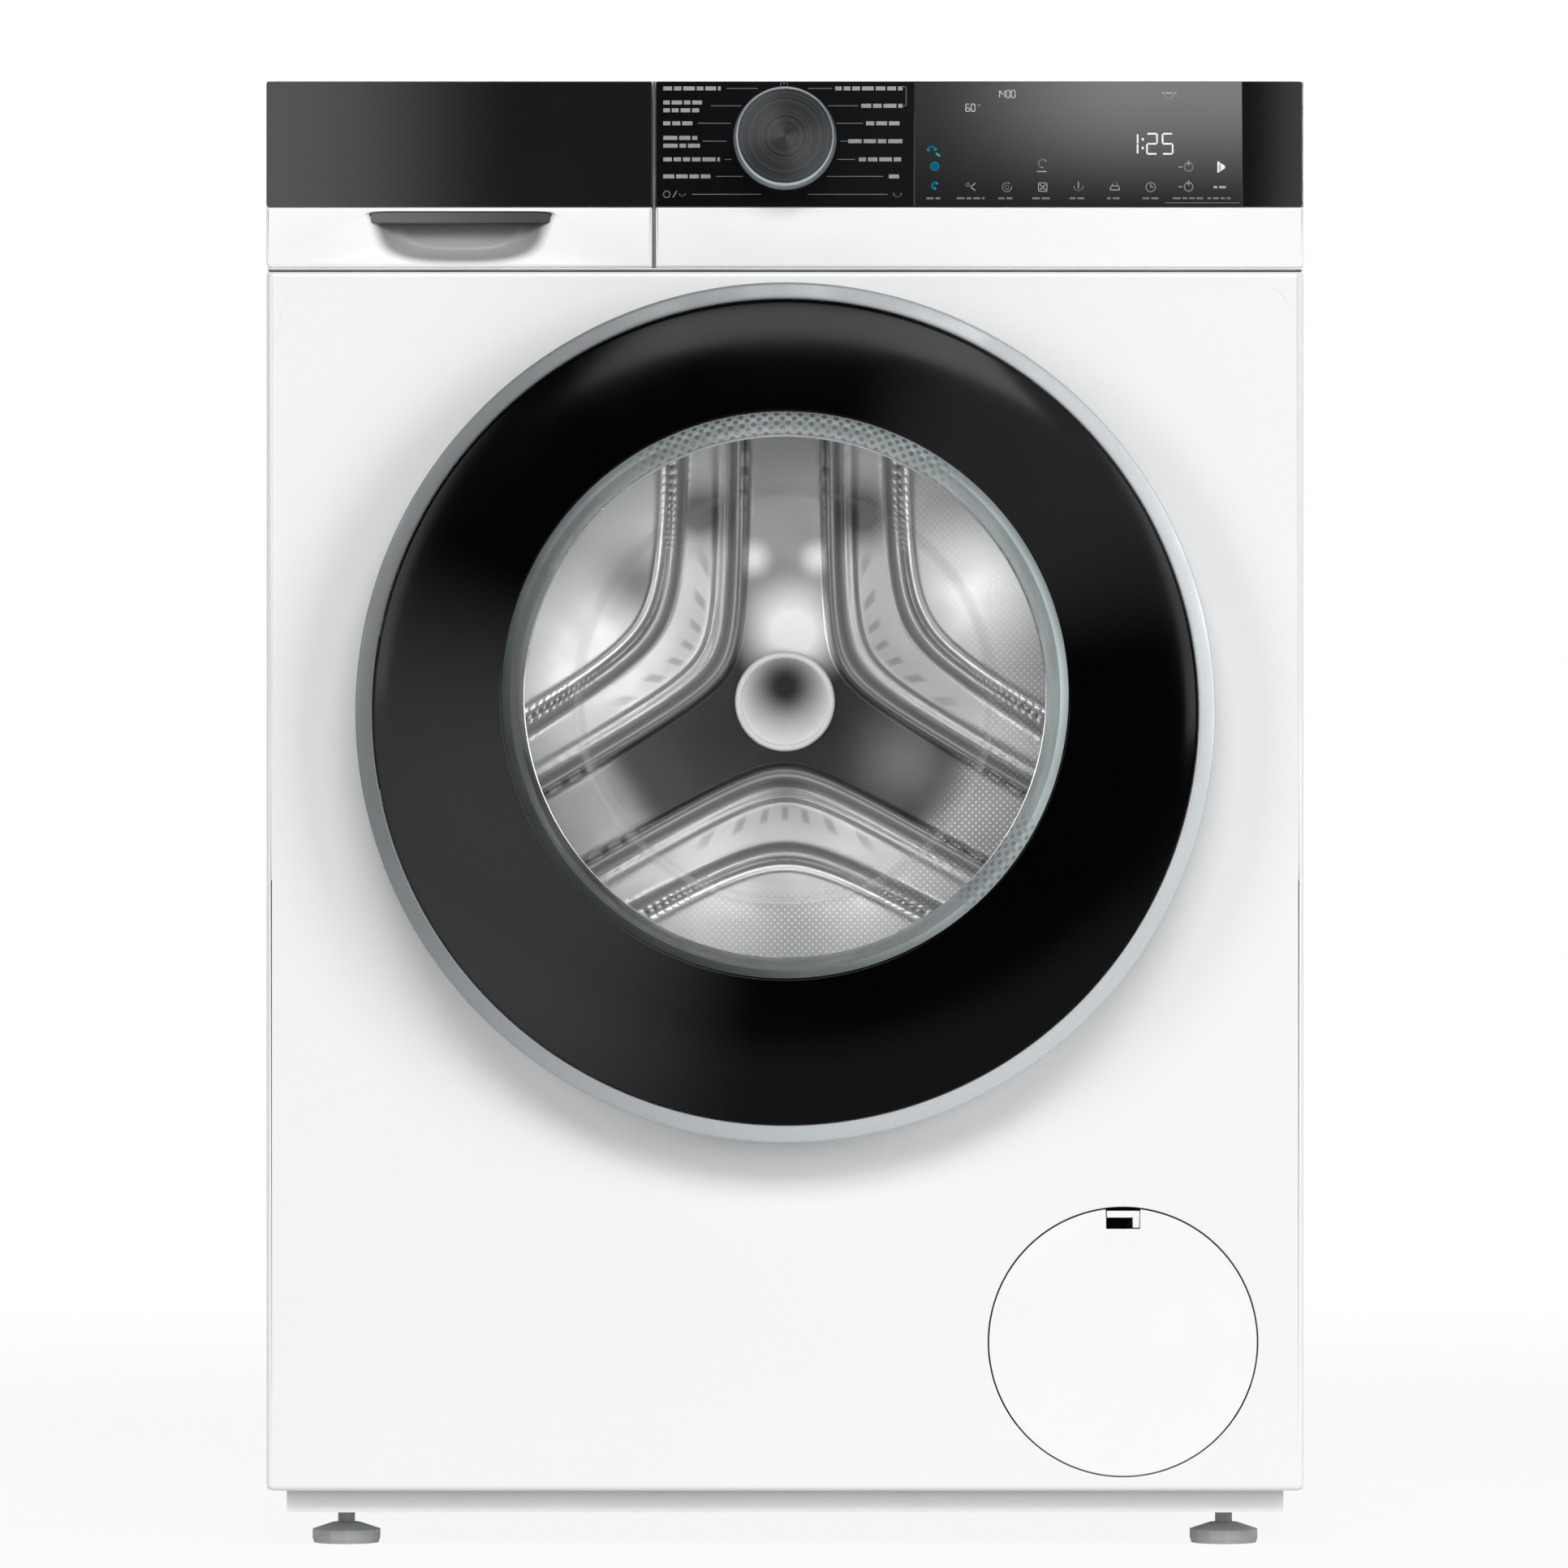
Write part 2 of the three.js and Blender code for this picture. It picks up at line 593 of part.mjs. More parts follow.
// A flange outside the trough carries two straight heating rods over the trough's floor.
function heaterElement() {
  const rod = (x) => turned(bar(4, -151, -20), SMALL_ROUND).translate(x, 0, HEATER_Z);
  return join(
    block(-18, 18, -156, TROUGH.front - GAP, HEATER_Z - 12, HEATER_Z + 7),
    rod(-9),
    rod(9),
    block(-9, 9, -26, -20, HEATER_Z - 2, HEATER_Z + 2),
  );
}

const damperRod = () => turnedUp(bar(10, 110, AXIS_Z - 227 - GAP), ROUND);

function damperBody() {
  const floor = TRAY.bottom + TRAY.wall + GAP;
  return turnedUp([[0, floor], [17, floor], [17, 215], [11, 215], [11, 90], [0, 90]], ROUND);
}

function suspensionSpring() {
  const { radius, wire, low, high, turns } = SPRING;
  const helix = new Helix(radius, low + wire / 2, high - wire / 2, turns);
  return tube(helix, wire / 2, Math.round(turns * 8), 4);
}

const tub = groupAt(0, 0, AXIS_Z);
part(tub, "tub_front", "grey_plastic", tubFront());
part(tub, "tub_rear", "grey_plastic", tubRear());
part(tub, "upper_counterweight", "concrete", upperCounterweight());
part(tub, "front_counterweight", "concrete", frontCounterweight());
part(tub, "heater_element", "stainless", heaterElement());
for (const [side, x] of [["left", -1], ["right", 1]]) {
  part(groupAt(x * DAMPER.x, DAMPER.y, 0), "damper_rod_" + side, "stainless", damperRod());
  part(groupAt(x * DAMPER.x, DAMPER.y, 0), "damper_body_" + side, "dark_plastic", damperBody());
  part(groupAt(x * SPRING.x, SPRING.y, 0), "spring_" + side, "spring_steel", suspensionSpring());
}

// ---- Door seal: a rubber bellows from the front panel to the tub's neck ----

function doorSeal() {
  return turned([
    [180, -267.4], [186, -267.4], [181, -258], [181, -228], [172, -219], [180, -209], [180, -195],
    [NECK.outer + GAP, -195], [NECK.outer + GAP, -206], [168.5, -219], [177, -231], [177, -250],
    [158.5, -258], [158.5, -262], [172, -262],
  ]);
}

part(tub, "door_seal", "grey_rubber", doorSeal());

// ---- Drum ----

const DRUM_INNER = DRUM_RADIUS - SHEET;

function drumShell() {
  return turned([
    [152, -172], [160, -172], [238, -168], [DRUM_RADIUS, -160], [DRUM_RADIUS, 168], [DRUM_INNER, 168],
    [DRUM_INNER, -159.5], [237.5, -166.8], [160, -170.8], [152, -170.8],
  ]);
}

// How far out along its sector a rib's centre line lies, at a distance across from the sector's axis.
const chevron = (reach, bend, across) => reach + 0.577 * (Math.hypot(across, bend) - bend);

// A raised rib on the drum's back wall. Its arch opens outwards along the sector's axis.
function backRib(sector, reach, bend, span, width) {
  const across = Array.from({ length: 7 }, (_, i) => span * (i / 3 - 1));
  const edge = (offset) => across.map((b) => [chevron(reach, bend, b) + offset, b]);
  const shape = outline([...edge(width / 2), ...edge(-width / 2).reverse()]);
  return facingFront(shape, DRUM_BACK_Y - 5, DRUM_BACK_Y + 0.5).rotateY(-radians(sector));
}

function drumBack() {
  const ribs = [30, 150, 270].flatMap((sector) => [
    backRib(sector, 58, 30, 52, 18),
    backRib(sector, 112, 38, 104, 20),
  ]);
  return join(turned(bar(DRUM_INNER - 0.4, DRUM_BACK_Y, DRUM_BACK_Y + SHEET)), ...ribs);
}

// The three-armed casting behind the drum, with the shaft that runs in the bearings.
function drumSpider() {
  const arms = LIFTER_ANGLES.map((angle) =>
    block(0, 240, DRUM_BACK_Y + 6, 184, -20, 20).rotateY(-radians(angle)),
  );
  const hub = turned([[0, 169], [32, 169], [32, 190], [14.7, 190], [14.7, 286], [0, 286]], ROUND);
  return join(hub, ...arms);
}

function drumPulley() {
  const [front, rear, rim] = [266, 284, DRUM_PULLEY_RADIUS];
  const wheel = turned([
    [15, front], [30, front], [30, front + 7], [rim - 12, front + 7], [rim - 12, front], [rim, front],
    [rim, rear], [rim - 12, rear], [rim - 12, front + 11], [30, front + 11], [30, rear], [15, rear],
  ]);
  const windows = [0, 72, 144, 216, 288].map((angle) =>
    turned(bar(30, front, rear), SMALL_ROUND).translate(80, 0, 0).rotateY(radians(angle)),
  );
  return cut(wheel, ...windows);
}

// A rounded ridge along the drum that lifts the washing. Its base follows the drum's wall.
function drumLifter(angle) {
  const ridge = outline([
    [250, -32], [232, -30], [215, -20], [200, -11], [196, 0], [200, 11], [215, 20], [232, 30], [250, 32],
  ]);
  const placed = facingFront(ridge, -140, 150).rotateY(-radians(angle));
  return solid(placed).intersect(solid(turned(bar(DRUM_INNER - 1, -145, 155))));
}

function hubCap() {
  return turned([[0, 141], [10, 142], [19, 145.5], [25.5, 151], [29, 158], [29.5, 162.6], [0, 162.6]], ROUND);
}

function bearing(outer, front, rear) {
  return turned(pipe(15.3, outer, front, rear), ROUND);
}

part(tub, "drum_shell", "stainless", drumShell());
part(tub, "drum_back", "stainless", drumBack());
part(tub, "drum_spider", "cast_aluminium", drumSpider());
part(tub, "drum_pulley", "cast_aluminium", drumPulley());
part(tub, "hub_cap", "stainless", hubCap());
LIFTER_ANGLES.forEach((angle, i) => {
  part(tub, "lifter_" + (i + 1), "grey_plastic", drumLifter(angle));
});
part(tub, "front_bearing", "stainless", bearing(HOUSING.frontSeat - GAP, 197, 215));
part(tub, "rear_bearing", "stainless", bearing(HOUSING.rearSeat - GAP, 233, 249));

// ---- Motor and belt ----

function motorBody() {
  const can = turned(bar(60, 60, 180), ROUND).translate(0, 0, -MOTOR_DROP);
  const saddle = block(-45, 45, 80, 170, -300, -287 - GAP);
  return cut(join(can, saddle), turned(bar(7, 150, 185), SMALL_ROUND).translate(0, 0, -MOTOR_DROP));
}

function motorRotor() {
  const [shaft, pulley] = [6, MOTOR_PULLEY_RADIUS];
  return turned([[0, 155], [shaft, 155], [shaft, 266], [pulley, 266], [pulley, 284], [0, 284]], ROUND);
}

// The belt's outline at one distance outside both pulleys: two arcs and the two straight runs.
function beltLoop(offset, path) {
  const lean = Math.asin((DRUM_PULLEY_RADIUS - MOTOR_PULLEY_RADIUS) / MOTOR_DROP);
  path.absarc(0, 0, DRUM_PULLEY_RADIUS + offset, -lean, Math.PI + lean, false);
  path.absarc(0, -MOTOR_DROP, MOTOR_PULLEY_RADIUS + offset, Math.PI + lean, 2 * Math.PI - lean, false);
  path.closePath();
  return path;
}

function driveBelt() {
  const shape = beltLoop(4.2, new THREE.Shape());
  shape.holes.push(beltLoop(1.2, new THREE.Path()));
  return facingFront(shape, 270, 280, BIG_ROUND);
}

part(tub, "motor_body", "cast_aluminium", motorBody());
part(groupAt(0, 0, -MOTOR_DROP, tub), "motor_rotor", "stainless", motorRotor());
part(tub, "drive_belt", "black_rubber", driveBelt());

// ---- Water and mains ----

function inletValve() {
  const nipple = turned(bar(13.2, 300, DOOR_FRONT_Y * -1), ROUND);
  return cut(join(block(-25, 25, 262, 306, -20, 20), nipple), turned(bar(7, 290, 325), SMALL_ROUND));
}

const fillHose = () => turned(bar(8, DISPENSER.rear + 1, 262 - GAP), SMALL_ROUND);

// Rubber bellows between the detergent drawer's housing and the tub.
function dispenserHose() {
  const [low, high] = [TUB_INLET.top + AXIS_Z + GAP, DISPENSER.bottom - GAP];
  const waves = 4;
  const outer = Array.from({ length: 2 * waves + 1 }, (_, i) => [
    i % 2 ? 22 : 18,
    low + ((high - low) * i) / (2 * waves),
  ]);
  return turnedUp([...outer, [13, high], [13, low]], ROUND);
}

function sumpHose() {
  const top = SUMP.bottom + AXIS_Z - GAP;
  const pumpEnd = FLAP.x - 46.8 - GAP;
  const route = [
    [SUMP.x, SUMP.y, top], [SUMP.x, SUMP.y, top - 14], [42, -132, 144], [76, -166, 124],
    [112, -196, FLAP.z], [pumpEnd - 14, -200, FLAP.z], [pumpEnd, -200, FLAP.z],
  ];
  return tube(smooth(route), SUMP.radius, 12);
}

function drainHose() {
  const start = FLAP.z + 44.7 + GAP;
  const route = [
    [FLAP.x, -175, start], [FLAP.x, -175, start + 12], [232, -158, 222], [274, -90, 262], [281, 0, 330],
    [281, 100, 430], [275, 190, 560], [264, 245, 655], [DRAIN.x, 286, DRAIN.z], [DRAIN.x, 301, DRAIN.z],
  ];
  const nozzle = turned(bar(12, 300, -DOOR_FRONT_Y), ROUND).translate(DRAIN.x, 0, DRAIN.z);
  const bore = turned(bar(8, 303, 325), SMALL_ROUND).translate(DRAIN.x, 0, DRAIN.z);
  return cut(join(tube(smooth(route), 12, 32, 8), nozzle), bore);
}

// The strain relief in the rear panel that the mains lead passes through.
function mainsGland() {
  const rear = REAR_Y + GAP;
  return turned([[4, 298], [9.5, 298], [9.5, rear], [14, rear], [14, rear + 3], [8, 318], [4, 318]], ROUND);
}

part(groupAt(INLET.x, 0, INLET.z), "inlet_valve", "white_plastic", inletValve());
part(groupAt(INLET.x, 0, INLET.z), "fill_hose", "black_rubber", fillHose());
part(groupAt(DISPENSER_OUTLET.x, DISPENSER_OUTLET.y, 0), "dispenser_hose", "black_rubber", dispenserHose());
part(machine, "sump_hose", "black_rubber", sumpHose());
part(machine, "drain_hose", "grey_plastic", drainHose());
part(groupAt(GLAND.x, 0, GLAND.z), "mains_gland", "dark_plastic", mainsGland());

export default machine;
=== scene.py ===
"""The looks of a front load washing machine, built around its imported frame.

Shapes are drawn in millimetres in the frame's own axes (+Z up, the door facing -Y) and stored in
metres. Sizes and places come from the frame's nodes.
"""
import math
import random

import bmesh
import bpy
from mathutils import Matrix, Vector
from mathutils.geometry import tessellate_polygon


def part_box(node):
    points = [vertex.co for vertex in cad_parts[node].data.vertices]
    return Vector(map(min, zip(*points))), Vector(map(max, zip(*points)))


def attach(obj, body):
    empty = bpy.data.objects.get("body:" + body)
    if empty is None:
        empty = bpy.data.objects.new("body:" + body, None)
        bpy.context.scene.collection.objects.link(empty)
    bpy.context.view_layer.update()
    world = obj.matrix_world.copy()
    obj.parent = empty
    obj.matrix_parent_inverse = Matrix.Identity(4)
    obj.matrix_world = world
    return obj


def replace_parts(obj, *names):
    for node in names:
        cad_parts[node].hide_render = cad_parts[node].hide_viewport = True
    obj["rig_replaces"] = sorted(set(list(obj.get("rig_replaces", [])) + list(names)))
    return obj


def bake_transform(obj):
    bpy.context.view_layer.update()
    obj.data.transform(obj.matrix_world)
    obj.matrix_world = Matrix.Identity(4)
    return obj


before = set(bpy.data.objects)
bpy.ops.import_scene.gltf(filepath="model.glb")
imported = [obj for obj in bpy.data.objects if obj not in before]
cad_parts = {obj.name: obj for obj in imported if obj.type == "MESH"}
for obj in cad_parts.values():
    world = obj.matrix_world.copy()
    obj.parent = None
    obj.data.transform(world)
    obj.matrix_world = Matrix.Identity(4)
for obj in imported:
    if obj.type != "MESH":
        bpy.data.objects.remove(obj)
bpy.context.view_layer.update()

MM = 0.001
TAU = 2 * math.pi
random.seed(7)


def span(node):
    """The lowest and highest corners of a node, in millimetres."""
    low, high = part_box(node)
    return low / MM, high / MM


def middle(node):
    low, high = span(node)
    return (low + high) / 2


# ---- Places taken from the frame, in millimetres ----

PANEL_LOW, PANEL_HIGH = span("front_panel")
FRONT = PANEL_LOW.y
HALF_WIDTH = PANEL_HIGH.x
RING = middle("door_outer_ring")
RING_RADIUS = (span("door_outer_ring")[1].z - span("door_outer_ring")[0].z) / 2
BOWL = middle("door_bowl")
AXIS_Z = middle("drum_shell").z
WINDOW_RADIUS = 162.1
KNOB = middle("selector_knob")
KNOB_LOW, KNOB_HIGH = span("selector_knob")
FLAP_RADIUS = 76.6
FLAP = Vector((middle("service_flap").x, FRONT, span("service_flap")[1].z - FLAP_RADIUS))
STRIP_LOW, STRIP_HIGH = span("fascia_black_panel")
DRAWER_LOW, DRAWER_HIGH = span("drawer_front")


# ---- Looks ----


class Look:
    """A material being built: a Principled shader and the nodes that feed it."""

    def __init__(self, name, **plain):
        self.material = bpy.data.materials.new(name)
        self.material.use_nodes = True
        self.nodes = self.material.node_tree.nodes
        self.links = self.material.node_tree.links
        self.shader = self.nodes["Principled BSDF"]
        self.place = self.nodes.new("ShaderNodeTexCoord").outputs["Object"]
        for socket, value in plain.items():
            self.feed(self.shader.inputs[socket.replace("_", " ")], value)

    def feed(self, socket, value):
        if isinstance(value, bpy.types.NodeSocket):
            self.links.new(value, socket)
        else:
            socket.default_value = value

    def node(self, kind, settings=None, **inputs):
        made = self.nodes.new("ShaderNode" + kind)
        for key, value in (settings or {}).items():
            setattr(made, key, value)
        for key, value in inputs.items():
            self.feed(made.inputs[key.replace("_", " ")], value)
        return made

    def math(self, operation, *values):
        made = self.nodes.new("ShaderNodeMath")
        made.operation = operation
        for socket, value in zip(made.inputs, values):
            self.feed(socket, value)
        return made.outputs[0]

    def times(self, first, *others):
        for other in others:
            first = self.math("MULTIPLY", first, other)
        return first

    def plus(self, first, second):
        return self.math("ADD", first, second)

    def minus(self, first, second):
        return self.math("SUBTRACT", first, second)

    def apart(self, first, second):
        """How far two values are apart."""
        return self.math("ABSOLUTE", self.minus(first, second))

    def length(self, first, second):
        """The length of a step that is first one way and second square to it."""
        return self.math("SQRT", self.plus(self.times(first, first), self.times(second, second)))

    def axes(self):
        """The x, y and z of a point in metres."""
        return self.node("SeparateXYZ", Vector=self.place).outputs

    def noise(self, scale, detail=3.0, stretch=None, roughness=0.5):
        place = self.place
        if stretch:
            place = self.node("Mapping", Vector=place, Scale=stretch).outputs[0]
        made = self.node("TexNoise", Vector=place, Scale=scale, Detail=detail, Roughness=roughness)
        return made.outputs["Fac"]

    def range(self, factor, low, high, start=0.0, end=1.0):
        """Low up to start, high from end on, and a smooth rise between them."""
        made = self.nodes.new("ShaderNodeMapRange")
        made.interpolation_type = "SMOOTHSTEP"
        for socket, value in zip(made.inputs, (factor, start, end, low, high)):
            self.feed(socket, value)
        return made.outputs[0]

    def mix(self, factor, first, second):
        """A colour between two colours, each a socket or red, green and blue."""
        made = self.nodes.new("ShaderNodeMix")
        made.data_type = "RGBA"
        self.feed(made.inputs[0], factor)
        for socket, value in ((made.inputs[6], first), (made.inputs[7], second)):
            self.feed(socket, value if isinstance(value, bpy.types.NodeSocket) else (*value, 1.0))
        return made.outputs[2]

    def bump(self, height, strength, distance):
        made = self.node("Bump", Strength=strength, Distance=distance, Height=height)
        self.feed(self.shader.inputs["Normal"], made.outputs[0])

    def mottled(self, grain, first, second):
        """A colour that wanders between two colours; grain is what noise takes."""
        return self.mix(self.range(self.noise(*grain), 0.0, 1.0, 0.3, 0.7), first, second)

    def dots(self, vector, scale, low, high, solid=1.0):
        """Round dots on a grid turned by 45 degrees: solid up to low from a dot's middle and nothing
        past high."""
        about = {"rotation_type": "Z_AXIS"}
        turned = self.node("VectorRotate", about, Vector=vector, Angle=math.pi / 4).outputs[0]
        flat = {"voronoi_dimensions": "2D"}
        cells = self.node("TexVoronoi", flat, Vector=turned, Scale=scale, Randomness=0.0)
        return self.range(cells.outputs["Distance"], solid, 0.0, low, high)

    def color(self, value):
        self.feed(self.shader.inputs["Base Color"], value)

    def tinted(self, tone, red, green, blue):
        """A colour from one tone and what each channel takes of it."""
        parts = {"Red": red, "Green": green, "Blue": blue}
        shades = {key: tone if part == 1 else self.times(tone, part) for key, part in parts.items()}
        return self.node("CombineColor", **shades).outputs[0]

    def rough(self, value):
        self.feed(self.shader.inputs["Roughness"], value)

    def gloss(self, low, high, *grain):
        """A roughness that wanders between two values; grain is what noise takes."""
        self.rough(self.range(self.noise(*grain), low, high, 0.3, 0.7))

    def alpha(self, value):
        self.feed(self.shader.inputs["Alpha"], value)


def grey(tone):
    return (tone, tone * 1.005, tone * 1.01)


def around(look, centre_z):
    """The angle round a level axis at x = 0, in radians, and the distance from it, in metres."""
    x, _, z = look.axes()
    up = look.minus(z, centre_z * MM)
    return look.math("ARCTAN2", up, x), look.length(x, up)


def sided(look, angle, towards, low, high, start=-1.0, end=1.0):
    """A tone that rises smoothly from low to high as the angle nears one direction, in degrees. Start
    and end are the cosines of the way to go."""
    turned = look.math("COSINE", look.minus(angle, math.radians(towards)))
    return look.range(turned, low, high, start, end)


def moulded(name, color, rough, grain=900.0, depth=0.12):
    """Moulded or painted plastic: faint mottling, uneven gloss and a fine grain."""
    look = Look(name)
    look.color(look.mottled((9.0, 2.0), tuple(c * 0.975 for c in color), color))
    look.gloss(rough - 0.06, rough + 0.06, 60.0, 5.0)
    look.bump(look.noise(grain, 2.0), depth, 0.0001)
    return look.material


def enamel(name, color, rough):
    """Enamelled sheet steel: a slight orange peel under a clear coat."""
    look = Look(name, Coat_Weight=0.35, Coat_Roughness=0.06)
    look.color(look.mottled((3.0, 1.0), tuple(c * 0.985 for c in color), color))
    look.gloss(rough - 0.02, rough + 0.02, 8.0, 2.0)
    look.bump(look.noise(160.0, 1.0), 0.025, 0.0001)
    return look.material


def brushed(name, color, rough, stretch, scale=140.0, depth=0.25):
    """Metal brushed along the axis that stretch makes smallest."""
    look = Look(name, Metallic=1.0)
    streak = look.noise(scale, 6.0, stretch, 0.7)
    tone = look.times(streak, look.noise(6.0, 3.0))
    look.color(look.mix(look.range(tone, 0.0, 1.0, 0.12, 0.4), tuple(c * 0.8 for c in color), color))
    look.rough(look.range(streak, rough - 0.07, rough + 0.1, 0.3, 0.7))
    look.bump(streak, depth, 0.00008)
    return look.material


def rough_cast(name, color, rough, metal, scale=220.0, depth=0.5):
    """Cast metal or concrete: pitted, with uneven tone."""
    look = Look(name, Metallic=metal)
    pits = look.noise(scale, 8.0, None, 0.65)
    look.color(look.mix(look.range(pits, 0.0, 1.0, 0.3, 0.7), tuple(c * 0.72 for c in color), color))
    look.gloss(rough - 0.1, min(1.0, rough + 0.08), 30.0, 4.0)
    look.bump(pits, depth, 0.0006)
    return look.material


def rubber(name, color):
    """Moulded rubber: a dusty bloom in patches and a fine grain."""
    look = Look(name, Specular_IOR_Level=0.35)
    bloom = look.range(look.noise(18.0, 6.0, None, 0.6), 0.0, 1.0, 0.42, 0.68)
    look.color(look.mix(bloom, color, tuple(min(1.0, c * 1.35 + 0.01) for c in color)))
    look.gloss(0.54, 0.74, 45.0, 4.0)
    look.bump(look.noise(700.0, 3.0), 0.2, 0.00015)
    return look.material


# ---- Shapes ----


def in_scene(name, data):
    """A new object that shows a mesh, a lamp's or a camera's data."""
    made = bpy.data.objects.new(name, data)
    bpy.context.scene.collection.objects.link(made)
    return made


def applied(helper):
    """The mesh of a helper object with its modifiers applied; the helper goes."""
    seen = helper.evaluated_get(bpy.context.evaluated_depsgraph_get())
    made = bpy.data.meshes.new_from_object(seen)
    bpy.data.objects.remove(helper)
    return made


def finish_piece(name, shape, material, body, replaces=(), sharp=32.0, weighted=True):
    """Links a Shell or a mesh in millimetres as a piece that rides on a body; where body is instead two
    bodies and two places, the piece is only fixed where it stands."""
    mesh = shape.mesh(name) if isinstance(shape, Shell) else shape
    mesh.transform(Matrix.Scale(MM, 4))
    working = bmesh.new()
    working.from_mesh(mesh)
    bmesh.ops.remove_doubles(working, verts=working.verts, dist=1e-6)
    bmesh.ops.recalc_face_normals(working, faces=working.faces)
    working.to_mesh(mesh)
    working.free()
    mesh.shade_smooth()
    mesh.set_sharp_from_angle(angle=math.radians(sharp))
    mesh.materials.append(material)
    piece = in_scene(name, mesh)
    if weighted:
        normals = piece.modifiers.new("Normals", "WEIGHTED_NORMAL")
        normals.keep_sharp = True
    if isinstance(body, str):
        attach(piece, body)
    else:
        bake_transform(piece)
    if replaces:
        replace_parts(piece, *replaces)
    return piece


def from_lists(name, points, faces):
    mesh = bpy.data.meshes.new(name)
    mesh.from_pydata([tuple(p) for p in points], [], faces)
    return mesh


def on_plane(plane, u, v, depth):
    return {"XZ": (u, depth, v), "XY": (u, v, depth), "YZ": (depth, u, v)}[plane]


def round_levels(front, back, edge, steps=4):
    """The (inset, depth) levels of a rounded edge from a plate's front towards its back."""
    sign = 1.0 if back > front else -1.0
    turn = [math.pi / 2 * k / steps for k in range(steps + 1)]
    return [(edge * (1 - math.sin(a)), front + sign * edge * (1 - math.cos(a))) for a in turn]


def thicken(mesh, thickness, outward):
    """Gives a sheet a thickness on the side away from outward."""
    working = bmesh.new()
    working.from_mesh(mesh)
    bmesh.ops.remove_doubles(working, verts=working.verts, dist=1e-3)
    bmesh.ops.recalc_face_normals(working, faces=working.faces)
    if sum(f.calc_area() * f.normal.dot(outward) for f in working.faces) < 0:
        bmesh.ops.reverse_faces(working, faces=working.faces)
    working.to_mesh(mesh)
    working.free()
    sheet = in_scene("sheet", mesh)
    solid = sheet.modifiers.new("Thickness", "SOLIDIFY")
    solid.thickness = thickness
    solid.offset = -1
    return applied(sheet)


